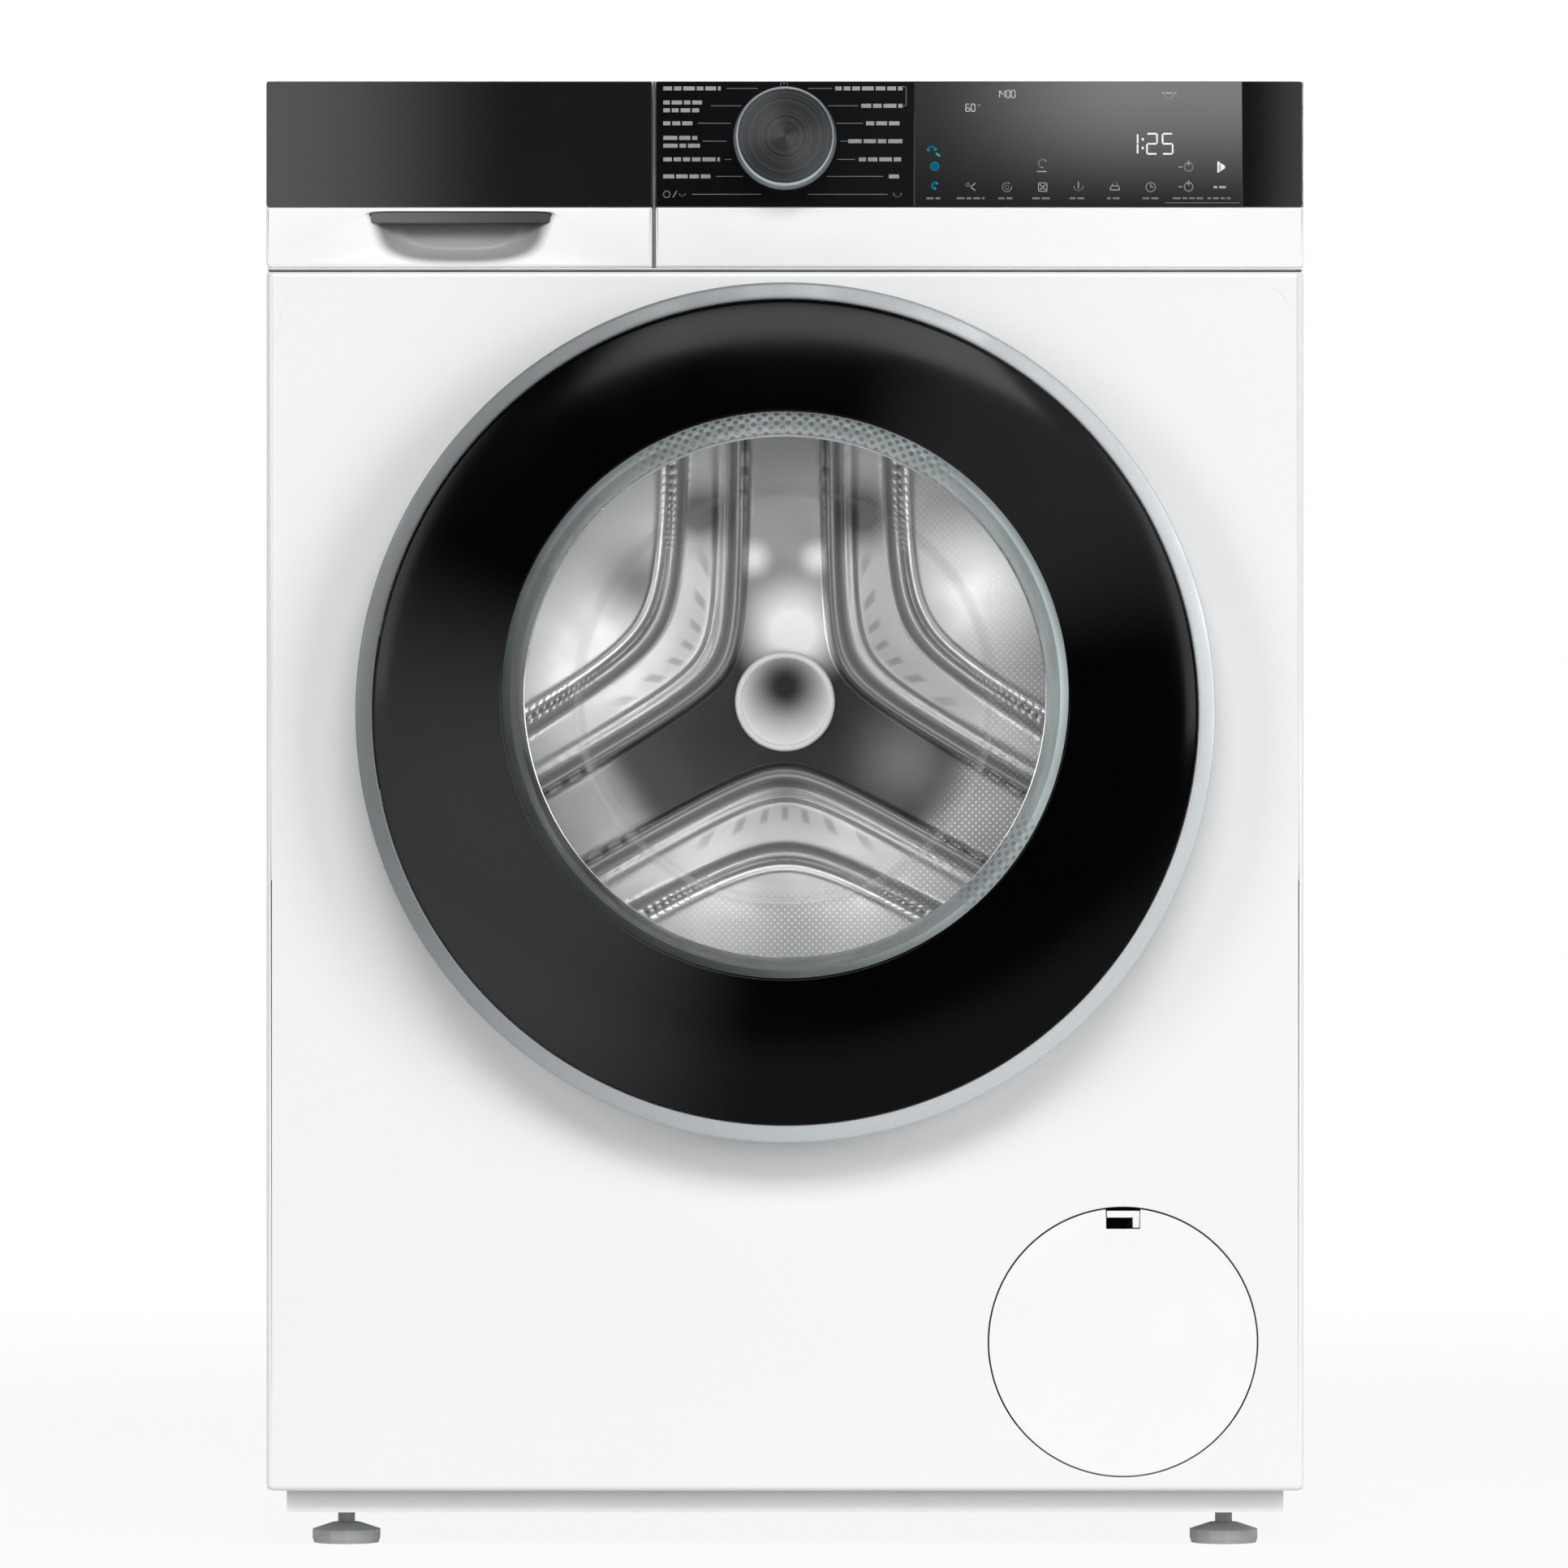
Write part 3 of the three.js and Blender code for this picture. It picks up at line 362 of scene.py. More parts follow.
class Shell:
    """Points and faces gathered for one mesh, in millimetres."""

    def __init__(self):
        self.points = []
        self.faces = []

    def add(self, points, faces):
        base = len(self.points)
        self.points += [tuple(p) for p in points]
        self.faces += [[base + i for i in face] for face in faces]

    def mesh(self, name):
        return from_lists(name, self.points, self.faces)

    def rings(self, rings, closed=True, caps=False):
        """Joins rings of equally many points; closed joins the last ring to the first."""
        count = len(rings[0])
        points = [p for ring in rings for p in ring]
        faces = []
        pairs = len(rings) if closed else len(rings) - 1
        for i in range(pairs):
            a, b = i * count, ((i + 1) % len(rings)) * count
            for j in range(count):
                k = (j + 1) % count
                faces.append([a + j, a + k, b + k, b + j])
        if caps:
            faces.append(list(range(count))[::-1])
            faces.append([(len(rings) - 1) * count + j for j in range(count)])
        self.add(points, faces)

    def lathe(self, profile, centre, segments, axis="Y", closed=True):
        """A profile of radius and place along the axis, turned about the axis through centre."""
        u0, v0 = centre

        def place(radius, along, angle):
            u, v = u0 + radius * math.cos(angle), v0 + radius * math.sin(angle)
            return {"Y": (u, along, v), "Z": (u, v, along)}[axis]

        rings = []
        points, faces = [], []
        for radius, along in profile:
            if radius < 1e-6:
                rings.append([len(points)])
                points.append(place(0, along, 0))
            else:
                rings.append([len(points) + j for j in range(segments)])
                points += [place(radius, along, TAU * j / segments) for j in range(segments)]
        pairs = list(zip(rings, rings[1:]))
        if closed and len(rings[0]) > 1:
            pairs.append((rings[-1], rings[0]))
        for a, b in pairs:
            if len(a) == 1 and len(b) == 1:
                continue
            for j in range(segments):
                k = (j + 1) % segments
                if len(a) == 1:
                    faces.append([a[0], b[k], b[j]])
                elif len(b) == 1:
                    faces.append([a[j], a[k], b[0]])
                else:
                    faces.append([a[j], a[k], b[k], b[j]])
        self.add(points, faces)

    def band(self, loop, levels, plane="XZ"):
        """Walls that follow a loop of (u, v, nu, nv) through levels of (inset, depth)."""
        self.rings([[on_plane(plane, u - nu * inset, v - nv * inset, depth) for u, v, nu, nv in loop]
                    for inset, depth in levels], closed=False)

    def face(self, loops, depth, plane="XZ"):
        """A flat face between (loop, inset) pairs, the outline first and then its holes."""
        flat = [[Vector((u - nu * inset, v - nv * inset, 0)) for u, v, nu, nv in loop]
                for loop, inset in loops]
        corners = [p for run in flat for p in run]
        self.add([on_plane(plane, p.x, p.y, depth) for p in corners], tessellate_polygon(flat))

    def slab(self, loops, front, back, edge, plane="XZ"):
        """A plate from its outline and holes, whose front edges are rounded by edge. Each loop is a
        list of (u, v, nu, nv), where n leads away from the material."""
        for loop in loops:
            self.band(loop, round_levels(front, back, edge) + [(0, back)], plane)
        self.face([(loop, edge) for loop in loops], front, plane)
        self.face([(loop, 0) for loop in loops], back, plane)

    def block(self, low, high, edge=0.0, steps=2):
        """A box with rounded edges."""
        working = bmesh.new()
        bmesh.ops.create_cube(working, size=1.0)
        size = [high[i] - low[i] for i in range(3)]
        middle_point = [(high[i] + low[i]) / 2 for i in range(3)]
        bmesh.ops.scale(working, vec=size, verts=working.verts)
        bmesh.ops.translate(working, vec=middle_point, verts=working.verts)
        if edge:
            bmesh.ops.bevel(working, geom=working.edges[:], offset=edge, segments=steps, profile=0.5,
                            affect="EDGES", clamp_overlap=True)
        working.verts.index_update()
        self.add([v.co for v in working.verts], [[v.index for v in f.verts] for f in working.faces])
        working.free()

    def tube(self, route, radius, sides):
        """A round bar along a list of points. radius is a number or one for each point."""
        route = [Vector(p) for p in route]
        count = len(route)
        radii = radius if isinstance(radius, list) else [radius] * count
        rings, side = [], None
        for i, point in enumerate(route):
            after = route[i + 1] if i + 1 < count else point
            before = route[i - 1] if i else point
            ahead = (after - before).normalized()
            if side is None:
                side = ahead.orthogonal().normalized()
            side = (side - ahead * side.dot(ahead)).normalized()
            other = ahead.cross(side)
            rings.append([point + radii[i] * (math.cos(a) * side + math.sin(a) * other)
                          for a in (TAU * j / sides for j in range(sides))])
        self.rings(rings, closed=False, caps=True)


def rounded(u0, u1, v0, v1, radii, steps):
    """A rectangle's outline with a radius for each corner, from the lower left anticlockwise."""
    if not isinstance(radii, (list, tuple)):
        radii = [radii] * 4
    corners = [(u0, v0, 180), (u1, v0, 270), (u1, v1, 0), (u0, v1, 90)]
    loop = []
    for (u, v, start), radius in zip(corners, radii):
        cu = u + radius * (1 if u == u0 else -1)
        cv = v + radius * (1 if v == v0 else -1)
        for k in range(steps + 1):
            angle = math.radians(start + 90 * k / steps)
            loop.append((cu + radius * math.cos(angle), cv + radius * math.sin(angle),
                         math.cos(angle), math.sin(angle)))
    return loop


def circle(u, v, radius, count, hole=False):
    """A circle's outline; for a hole its normals lead inwards."""
    sign = -1 if hole else 1
    return [(u + radius * math.cos(a), v + radius * math.sin(a), sign * math.cos(a), sign * math.sin(a))
            for a in (TAU * j / count for j in range(count))]


def catmull(points, steps):
    """A smooth run through points."""
    points = [Vector(p) for p in points]
    ends = [2 * points[0] - points[1]] + points + [2 * points[-1] - points[-2]]
    run = []
    for i in range(1, len(ends) - 2):
        a, b, c, d = ends[i - 1:i + 3]
        for k in range(steps):
            t = k / steps
            run.append(0.5 * (2 * b + (c - a) * t + (2 * a - 5 * b + 4 * c - d) * t * t
                              + (3 * b - a - 3 * c + d) * t ** 3))
    return run + [points[-1]]


# ---- Finishes ----

ENAMEL = enamel("white enamel", (0.85, 0.855, 0.855), 0.32)
WHITE_PLASTIC = moulded("white plastic", (0.87, 0.875, 0.875), 0.36, depth=0.05)
LAMINATE = moulded("white laminate", (0.78, 0.785, 0.785), 0.42, grain=1400.0, depth=0.15)
GREY_PLASTIC = moulded("grey plastic", (0.36, 0.37, 0.37), 0.5)
DARK_PLASTIC = moulded("dark plastic", (0.02, 0.02, 0.022), 0.5)
SILVER = brushed("silver trim", (0.62, 0.655, 0.675), 0.36, (1.0, 1.0, 1.0), 300.0, 0.04)
STAINLESS = brushed("stainless steel", (0.62, 0.63, 0.64), 0.26, (1.0, 0.05, 1.0))
ZINC = rough_cast("galvanised sheet", (0.52, 0.54, 0.55), 0.45, 0.85, 60.0, 0.06)
ALUMINIUM = rough_cast("cast aluminium", (0.5, 0.51, 0.51), 0.5, 0.8)
CONCRETE = rough_cast("concrete", (0.36, 0.355, 0.34), 0.9, 0.0, 90.0, 0.9)
SPRING = brushed("spring steel", (0.22, 0.22, 0.23), 0.35, (0.2, 0.2, 1.0))
GREY_RUBBER = rubber("grey rubber", (0.13, 0.14, 0.145))
BLACK_RUBBER = rubber("black rubber", (0.018, 0.018, 0.018))


def circuit_board():
    look = Look("circuit board", Specular_IOR_Level=0.4)
    tracks = look.node("TexBrick", Vector=look.place, Scale=180.0, Mortar_Size=0.02)
    look.color(look.mix(tracks.outputs["Fac"], (0.008, 0.075, 0.035), (0.02, 0.16, 0.075)))
    look.gloss(0.3, 0.5, 80.0)
    return look.material


BOARD = circuit_board()


def black_gloss(name, start, end, first, last):
    """Glossy black plastic with a painted reflection that shades it along X from one place to another, in
    millimetres.
    """
    look = Look(name, Coat_Weight=0.5, Coat_Roughness=0.05)
    # Painted reflection: the colour runs from first at start to last at end.
    along = look.range(look.axes()[0], 0.0, 1.0, start * MM, end * MM)
    specks = look.range(look.noise(1500.0, 2.0), 0.0, 1.0, 0.72, 0.8)
    base = look.mix(along, first, last)
    look.color(look.mix(look.times(specks, 0.03), base, (0.3, 0.3, 0.3)))
    look.gloss(0.09, 0.17, 14.0, 5.0)
    look.bump(look.noise(40.0, 2.0), 0.02, 0.0002)
    return look.material


# Painted reflections: the left cover lighter at its left end, the right one at its right end.
DARK_FASCIA = black_gloss("black fascia, left", -299, -150, (0.085, 0.085, 0.087),
                          (0.008, 0.008, 0.009))
KNOB_FASCIA = black_gloss("black fascia, middle", -75, 75, (0.003, 0.003, 0.004),
                          (0.006, 0.006, 0.007))
END_FASCIA = black_gloss("black fascia, right", 266, 300, (0.006, 0.006, 0.006),
                         (0.04, 0.04, 0.041))


def display_window():
    """The smoked cover over the display, with a painted reflection that makes it greyer towards its upper
    edge and right end.
    """
    look = Look("display cover", Coat_Weight=0.6, Coat_Roughness=0.04)
    x, _, z = look.axes()
    # Painted reflection: greyer towards the top and towards the right end.
    up = look.range(z, 0.0, 1.0, 0.765, 0.848)
    across = look.range(x, 0.12, 1.0, 0.07, 0.2)
    look.color(look.mix(look.times(up, across), (0.012, 0.012, 0.013), (0.19, 0.19, 0.192)))
    look.gloss(0.09, 0.15, 20.0, 4.0)
    return look.material


DISPLAY = display_window()


def printed(name, color, glow=0.0):
    """Ink or a lit symbol, slightly uneven in tone."""
    look = Look(name, Roughness=0.5)
    tone = look.mottled((500.0,), tuple(c * 0.8 for c in color), color)
    look.color(tone)
    if glow:
        look.feed(look.shader.inputs["Emission Color"], tone)
        look.feed(look.shader.inputs["Emission Strength"], glow)
    return look.material


INK = printed("pale ink", (0.38, 0.39, 0.39))
BRIGHT_INK = printed("bright ink", (0.5, 0.51, 0.51))
LABEL_INK = printed("label ink", (0.3, 0.305, 0.305))
LINE_INK = printed("line ink", (0.16, 0.165, 0.165))
DIM_INK = printed("dim ink", (0.17, 0.175, 0.175))
TEAL = printed("teal light", (0.0, 0.22, 0.3), 0.45)
DIGITS = printed("white light", (0.75, 0.77, 0.77), 0.25)


# ---- Casing ----

casing = "casing"
BACK = span("rear_panel")[1].y
BASE = PANEL_LOW.z
PANEL_TOP = PANEL_HIGH.z
SHEET = 1.2
SHEET_TOP = 823.5
PORT_RADIUS, FLAP_OPENING = 186, 78
LATCH_SLOT = (204, 222, 466, 498)
SOFT_STEP = (0, 0.15, 0.35, 0.5, 0.65, 0.85, 1)


def turned_in(loop):
    """The same loop as the edge of a hole: its normals lead the other way."""
    return [(u, v, -nu, -nv) for u, v, nu, nv in loop]


def pressing(width, depth):
    """The (inset, depth) levels of a soft step pressed into a sheet."""
    return [(-width * t, depth * (3 * t * t - 2 * t ** 3)) for t in SOFT_STEP]


def front_panel():
    """The pressed front: its edges bend back, and the port and the flap's opening are rolled in."""
    outline = rounded(-HALF_WIDTH, HALF_WIDTH, BASE, PANEL_TOP, [4, 4, 2, 2], 4)
    port = circle(BOWL.x, AXIS_Z, PORT_RADIUS, 192, hole=True)
    flap = circle(FLAP.x, FLAP.z, FLAP_OPENING, 128, hole=True)
    slot = turned_in(rounded(*LATCH_SLOT, 2, 3))
    shell = Shell()
    shell.face([(outline, 3.2), (port, 3), (flap, 0.7), (slot, 0.7)], FRONT)
    shell.band(outline, round_levels(FRONT, 0, 3.2, 5) + [(0, FRONT + 11)])
    shell.band(port, round_levels(FRONT, 0, 3, 5) + [(0, FRONT + 6)])
    for hole in (flap, slot):
        shell.band(hole, round_levels(FRONT, 0, 0.7, 3) + [(0, FRONT + 1.6)])
    mesh = thicken(shell.mesh("front_skin"), SHEET, Vector((0, -1, 0)))
    finish_piece("front_skin", mesh, ENAMEL, casing, ["front_panel"])


front_panel()


def flap_hinge_lugs():
    for side in (-1, 1):
        x = FLAP.x + side * 19
        shell = Shell()
        shell.block((x - 2, FRONT + 1, 34.3), (x + 2, -263, 41.2), 0.5)
        finish_piece("flap_lug_" + ("left" if side < 0 else "right"), shell, ENAMEL, casing)


flap_hinge_lugs()


def side_panel(side):
    """A side sheet with a broad shallow pressing, and a lip under the worktop."""
    outer, front, rear = side * HALF_WIDTH, -257.2, BACK - 1.8
    step = -side * 2.2
    outline = rounded(front, rear, BASE, PANEL_TOP, 1.5, 3)
    well = rounded(front + 70, rear - 60, BASE + 95, PANEL_TOP - 80, 46, 10)
    inner = turned_in(well)
    shell = Shell()
    shell.face([(outline, 0.6), (inner, 0)], outer, "YZ")
    shell.band(inner, [(inset, outer + rise) for inset, rise in pressing(6, step)], "YZ")
    shell.face([(inner, -6)], outer + step, "YZ")
    shell.band(outline, [(0.6, outer), (0.2, outer - side * 0.2), (0, outer - side * 0.6)], "YZ")
    mesh = thicken(shell.mesh("side"), SHEET - 0.2, Vector((side, 0, 0)))
    name = "left" if side < 0 else "right"
    finish_piece(name + "_side_skin", mesh, ENAMEL, casing, [name + "_side_panel"])
    low, high = sorted((outer, outer - side * SHEET))
    shell = Shell()
    shell.block((low, -244, PANEL_TOP - 1), (high, rear, SHEET_TOP), 0.4)
    hook_low, hook_high = sorted((side * 245, side * 298))
    shell.block((hook_low, 55, 800), (hook_high, 95, 803), 0.6)
    finish_piece(name + "_side_upper", shell, ENAMEL, casing)


side_panel(-1)
side_panel(1)


def worktop():
    low, high = span("worktop")
    shell = Shell()
    outline = rounded(low.x, high.x, low.y, high.y, [6, 6, 3, 3], 6)
    shell.band(outline, [(1.2, low.z), (0.3, low.z + 0.4), (0, low.z + 1.2)]
               + round_levels(high.z, low.z, 3.0, 6)[::-1], "XY")
    shell.face([(outline, 1.2)], low.z, "XY")
    shell.face([(outline, 3.0)], high.z, "XY")
    finish_piece("worktop_board", shell, LAMINATE, casing, ["worktop"])


worktop()


def rear_panel():
    """The rear sheet, pressed with a large panel and a few stiffening ribs, and its screws."""
    outline = rounded(-HALF_WIDTH, HALF_WIDTH, BASE, SHEET_TOP, 3, 4)
    floor, rib_top = BACK - 4.5, BACK - 2.3
    holes = [(-230, 785, 14.6), (250, 700, 14.1), (250, 785, 10.1)]
    rings = [circle(x, z, radius, 48, hole=True) for x, z, radius in holes]
    well = turned_in(rounded(-215, 215, 110, 660, 40, 10))
    shell = Shell()
    shell.face([(outline, 0.5)] + [(ring, 0) for ring in rings] + [(well, 0)], BACK)
    shell.band(outline, [(0.5, BACK), (0, BACK - 0.5)])
    shell.band(well, [(inset, BACK + rise) for inset, rise in pressing(5, -4.5)])
    ribs = [turned_in(rounded(-150, 150, z - 9, z + 9, 9, 8)) for z in (200, 290, 380, 470, 560)]
    shell.face([(well, -5)] + [(rib, 0) for rib in ribs], floor)
    for rib in ribs:
        shell.band(rib, [(0, floor), (-0.8, BACK - 4.2), (-2.2, BACK - 2.6), (-3, rib_top)])
        shell.face([(rib, -3)], rib_top)
    mesh = thicken(shell.mesh("rear"), SHEET - 0.3, Vector((0, 1, 0)))
    finish_piece("rear_skin", mesh, ZINC, casing, ["rear_panel"])
    shell = Shell()
    for x in (-285, 285):
        for z in (60, 250, 440, 630, 805):
            shell.lathe([(0, BACK + 2.3), (2.2, BACK + 2.2), (4, BACK + 1.5), (4.6, BACK + 0.4),
                         (4.6, BACK + 0.05), (0, BACK + 0.05)], (x, z), 20, closed=False)
    finish_piece("rear_screws", shell, STAINLESS, casing)


rear_panel()


# ---- Fascia and drawer ----

STRIP_TOP = STRIP_LOW.z - 0.3
FASCIA_BOTTOM = DRAWER_LOW.z
FASCIA_TOP = STRIP_HIGH.z
FASCIA_LEFT = STRIP_LOW.x
DRAWER_RIGHT = DRAWER_HIGH.x
STRIP_BACK, PLATE_FRONT = -264, -265.4
GRIP = (-187.0, 58.0, 771.8, 740.5)


def fascia_housing():
    low, high = span("fascia_housing")
    shell = Shell()
    strip = rounded(FASCIA_LEFT, HALF_WIDTH, FASCIA_BOTTOM, STRIP_TOP, [1.2, 3, 1, 1], 4)
    shell.slab([strip], FRONT, STRIP_BACK, 1.3)
    shell.block((FASCIA_LEFT, PLATE_FRONT, FASCIA_BOTTOM + 0.3), (HALF_WIDTH, high.y, FASCIA_TOP), 1.6, 3)
    finish_piece("fascia_strip", shell, WHITE_PLASTIC, casing, ["fascia_housing"])
    frame_loop = rounded(-HALF_WIDTH, FASCIA_LEFT - 0.5, FASCIA_BOTTOM, FASCIA_TOP, 1.5, 3)
    mouth = turned_in(rounded(-284, -91, 754, 815, 6, 5))
    shell = Shell()
    shell.slab([frame_loop, mouth], -250.5, -247.5, 0.8)
    finish_piece("drawer_frame", shell, WHITE_PLASTIC, casing)


fascia_housing()


def seam_strips():
    """Strips set back in the two seams of the front, grey as painted shade, so that they show as grey and
    not as black.
    """
    left, right, rear = -HALF_WIDTH, HALF_WIDTH, FRONT + 4
    low, high = PANEL_HIGH.z + 0.12, FASCIA_BOTTOM - 0.12
    half = (low + high) / 2
    shell = Shell()
    shell.block((1 + left, FRONT + 1.0, low), (right - 1, rear, half), 0.2)
    shell.block((DRAWER_RIGHT + 0.3, FRONT + 1.2, high + 0.2), (FASCIA_LEFT - 0.12, rear, FASCIA_TOP),
                0.15)
    finish_piece("front_seam", shell, GREY_RUBBER, casing)
    shell = Shell()
    shell.block((0.6 + left, FRONT + 0.3, half + 0.05), (right - 0.6, rear, high), 0.2)
    finish_piece("seam_lip", shell, WHITE_PLASTIC, casing)


seam_strips()


def black_covers():
    """The glossy cover in three tones, each part with its own painted reflection, and a pale edge where
    it meets the side.
    """
    parts = [("knob_cover", FASCIA_LEFT, 74.6, KNOB_FASCIA, ["fascia_black_panel"]),
             ("display_cover", 74.6, 263.3, DISPLAY, []),
             ("end_cover", 263.3, HALF_WIDTH - 0.9, END_FASCIA, [])]
    for name, left, right, material, replaced in parts:
        ends = [1.2 if left == FASCIA_LEFT else 0.15, 1.6 if right > 290 else 0.15]
        outline = rounded(left, right, STRIP_LOW.z, FASCIA_TOP, [ends[0], ends[1], ends[1], ends[0]], 4)
        loops = [outline]
        if name == "knob_cover":
            loops.append(circle(KNOB.x, KNOB.z, 5, 48, hole=True))
        shell = Shell()
        shell.slab(loops, FRONT, FRONT + 3, 0.12 if ends == [0.15, 0.15] else 0.35)
        finish_piece(name, shell, material, casing, replaced)
    shell = Shell()
    shell.block((HALF_WIDTH - 0.9, FRONT + 0.3, STRIP_LOW.z), (HALF_WIDTH, FRONT + 3, FASCIA_TOP), 0.3)
    finish_piece("cover_edge", shell, SILVER, casing)


black_covers()


def grip_outline():
    """The mouth of the drawer's grip: nearly flat along its top, and rounder and narrower below."""
    x0, half, top, bottom = GRIP
    count, mouth, loop = 96, [], []
    for j in range(count):
        u, v = math.cos(TAU * j / count), math.sin(TAU * j / count)
        across, up = (12, 12) if v > 0 else (3.2, 2.6)
        reach = (abs(u) ** across + abs(v) ** up) ** (-2 / (across + up))
        z = (top + bottom) / 2 - 0.6 + v * reach * (top - bottom) / 2
        narrow = half * (0.8 + 0.2 * min(1.0, max(0.0, (z - bottom) / (top - bottom))))
        mouth.append((x0 + u * reach * narrow, min(z, top - 0.4)))
    for j in range(count):
        (ua, va), (ub, vb) = mouth[j - 1], mouth[(j + 1) % count]
        along = Vector((ub - ua, vb - va)).normalized()
        loop.append((*mouth[j], -along.y, along.x))
    return loop


def grip_plastic():
    """The drawer front's white plastic, with painted shade inside the grip: darker the deeper it lies and
    towards the grip's top.
    """
    _, _, top, bottom = GRIP
    look = Look("grip plastic")
    _, y, z = look.axes()
    # Painted shade: darker the deeper into the grip, and darker towards its top.
    inside = look.range(y, 0.0, 1.0, (FRONT + 0.2) * MM, (FRONT + 6.5) * MM)
    shade = look.mix(look.range(z, 0.0, 1.0, (bottom + 6) * MM, (top - 4) * MM), grey(0.34), grey(0.16))
    look.color(look.mix(inside, look.mottled((9.0, 4.0), grey(0.82), grey(0.87)), shade))
    look.gloss(0.36, 0.48, 60.0, 5.0)
    look.bump(look.noise(900.0, 2.0), 0.12, 0.0001)
    return look.material


def drawer_face():
    """The drawer's white strip with its sculpted grip."""
    x0, _, top, _ = GRIP
    outline = rounded(-HALF_WIDTH, DRAWER_RIGHT, FASCIA_BOTTOM, STRIP_TOP, [3, 1.2, 1, 1], 4)
    loop = grip_outline()
    shell = Shell()
    shell.face([(outline, 1.3), (loop, 0)], FRONT)
    shell.band(outline, round_levels(FRONT, STRIP_BACK, 1.3) + [(0, STRIP_BACK)])
    shell.face([(outline, 0)], -253.0)
    shell.band(outline, [(0, STRIP_BACK), (0, -253.0)])
    depth, levels, rings = 14.0, 14, []
    floor = Vector((x0 - 1.5, top - 7.5))
    for t in (k / levels for k in range(levels + 1)):
        ring = []
        for u, v, _, _ in loop:
            out = Vector((u, v))
            near_top = max(0.0, min(1.0, (v - (top - 5)) / 4.0))
            point = out.lerp(floor + (out - floor) * 0.55, t * (1 - 0.55 * near_top))
            if near_top:
                point.y = v - 0.02 * t
            ring.append((point.x, FRONT + depth * math.sin(t * math.pi / 2) ** 1.35, point.y))
        rings.append(ring)
    shell.rings(rings, closed=False)
    inner = [Vector((u, v, 0)) for u, _, v in rings[-1]]
    shell.add([(p.x, FRONT + depth, p.y) for p in inner], tessellate_polygon([inner]))
    finish_piece("drawer_face", shell, grip_plastic(), "drawer",
                 ["drawer_front"], sharp=40, weighted=False)


def drawer_plates():
    """The plate behind the drawer's black cover, and the cover."""
    shell = Shell()
    shell.block((-HALF_WIDTH, PLATE_FRONT, STRIP_TOP + 0.4), (DRAWER_RIGHT, -262, FASCIA_TOP), 1.0)
    for low, high in (((-HALF_WIDTH, -263, 772), (-296, -251, FASCIA_TOP)),
                      ((-79.6, -263, 772), (DRAWER_RIGHT, -251, FASCIA_TOP)),
                      ((-HALF_WIDTH, -263, 843), (DRAWER_RIGHT, -251, FASCIA_TOP))):
        shell.block(low, high, 0.8)
    finish_piece("drawer_back_plate", shell, WHITE_PLASTIC, "drawer")
    edge = rounded(-HALF_WIDTH, DRAWER_RIGHT, STRIP_LOW.z, FASCIA_TOP, [1.6, 1.2, 1.2, 1.6], 4)
    shell = Shell()
    shell.slab([edge], FRONT, FRONT + 3, 0.35)
    finish_piece("drawer_cover", shell, DARK_FASCIA, "drawer", ["drawer_black_panel"])


drawer_face()
drawer_plates()


def grip_slot():
    """The dark slot at the top of the grip that fingers hook over: a block coloured as painted shade, a
    little lighter at its left end.
    """
    x0, half, top, _ = GRIP
    half -= 6.5
    look = Look("slot painted shade")
    # Painted shade: the slot's darkness, a little lighter towards the left end.
    across = look.range(look.axes()[0], 0.0, 1.0, (x0 - 51) * MM, (x0 + 51) * MM)
    look.color(look.mix(across, grey(0.11), grey(0.035)))
    look.gloss(0.5, 0.62, 60.0, 5.0)
    outline = rounded(x0 - half, x0 + half, top - 7.4, top - 0.5, [1.6, 1.6, 0.8, 0.8], 5)
    shell = Shell()
    shell.slab([outline], FRONT + 1.4, FRONT + 15.8, 0.4)
    finish_piece("grip_slot", shell, look.material, "drawer")


grip_slot()


def drawer_tray():
    """The tray, with a pocket for each of its three compartments."""
    low, high = span("drawer_tray")
    outline = rounded(low.x, high.x, low.y, high.y, 5, 5)
    pockets = [turned_in(rounded(left, right, low.y + 2.5, high.y - 2.5, 6, 6)) for left, right in
               ((low.x + 2.5, -221.25), (-218.75, -161.25), (-158.75, high.x - 2.5))]
    floor = low.z + 2.5
    hollow = [(0, 5), (-0.4, 3.1), (-1.5, 1.5), (-3.1, 0.4), (-5, 0)]
    shell = Shell()
    shell.face([(outline, 0.8)] + [(pocket, 0.8) for pocket in pockets], high.z, "XY")
    shell.band(outline, round_levels(high.z, low.z, 0.8, 3) + [(1.5, low.z + 1.5), (3, low.z)], "XY")
    shell.face([(outline, 3)], low.z, "XY")
    for pocket in pockets:
        shell.band(pocket, round_levels(high.z, low.z, 0.8, 3)
                   + [(inset, floor + rise) for inset, rise in hollow], "XY")
        shell.face([(pocket, -5)], floor, "XY")
    finish_piece("drawer_box", shell, GREY_PLASTIC, "drawer", ["drawer_tray"],
                 sharp=40)


drawer_tray()


# ---- Selector ----


def knob_face():
    """Dark metal brushed in circles round the knob's axis, with a painted reflection in two opposite
    wedges.
    """
    look = Look("knob face", Metallic=1.0)
    angle, radius = around(look, KNOB.z)
    turned = look.node("CombineXYZ", X=look.times(radius, 900.0), Y=0.0, Z=0.0).outputs[0]
    rings = look.node("TexNoise", Vector=turned, Scale=1.0, Detail=6.0, Roughness=0.7).outputs["Fac"]
    # Painted reflection: two opposite lighter wedges round the middle.
    painted_sheen = look.math("COSINE", look.times(look.plus(angle, 0.5), 2.0))
    base = look.mix(look.range(painted_sheen, 0.0, 1.0, -1.0, 1.0), (0.036, 0.038, 0.04), (0.11, 0.114, 0.118))
    look.color(look.mix(look.range(rings, 0.0, 0.5, 0.3, 0.7), base, (0.15, 0.155, 0.16)))
    look.rough(look.range(rings, 0.3, 0.42, 0.3, 0.7))
    look.bump(rings, 0.12, 0.00004)
    return look.material


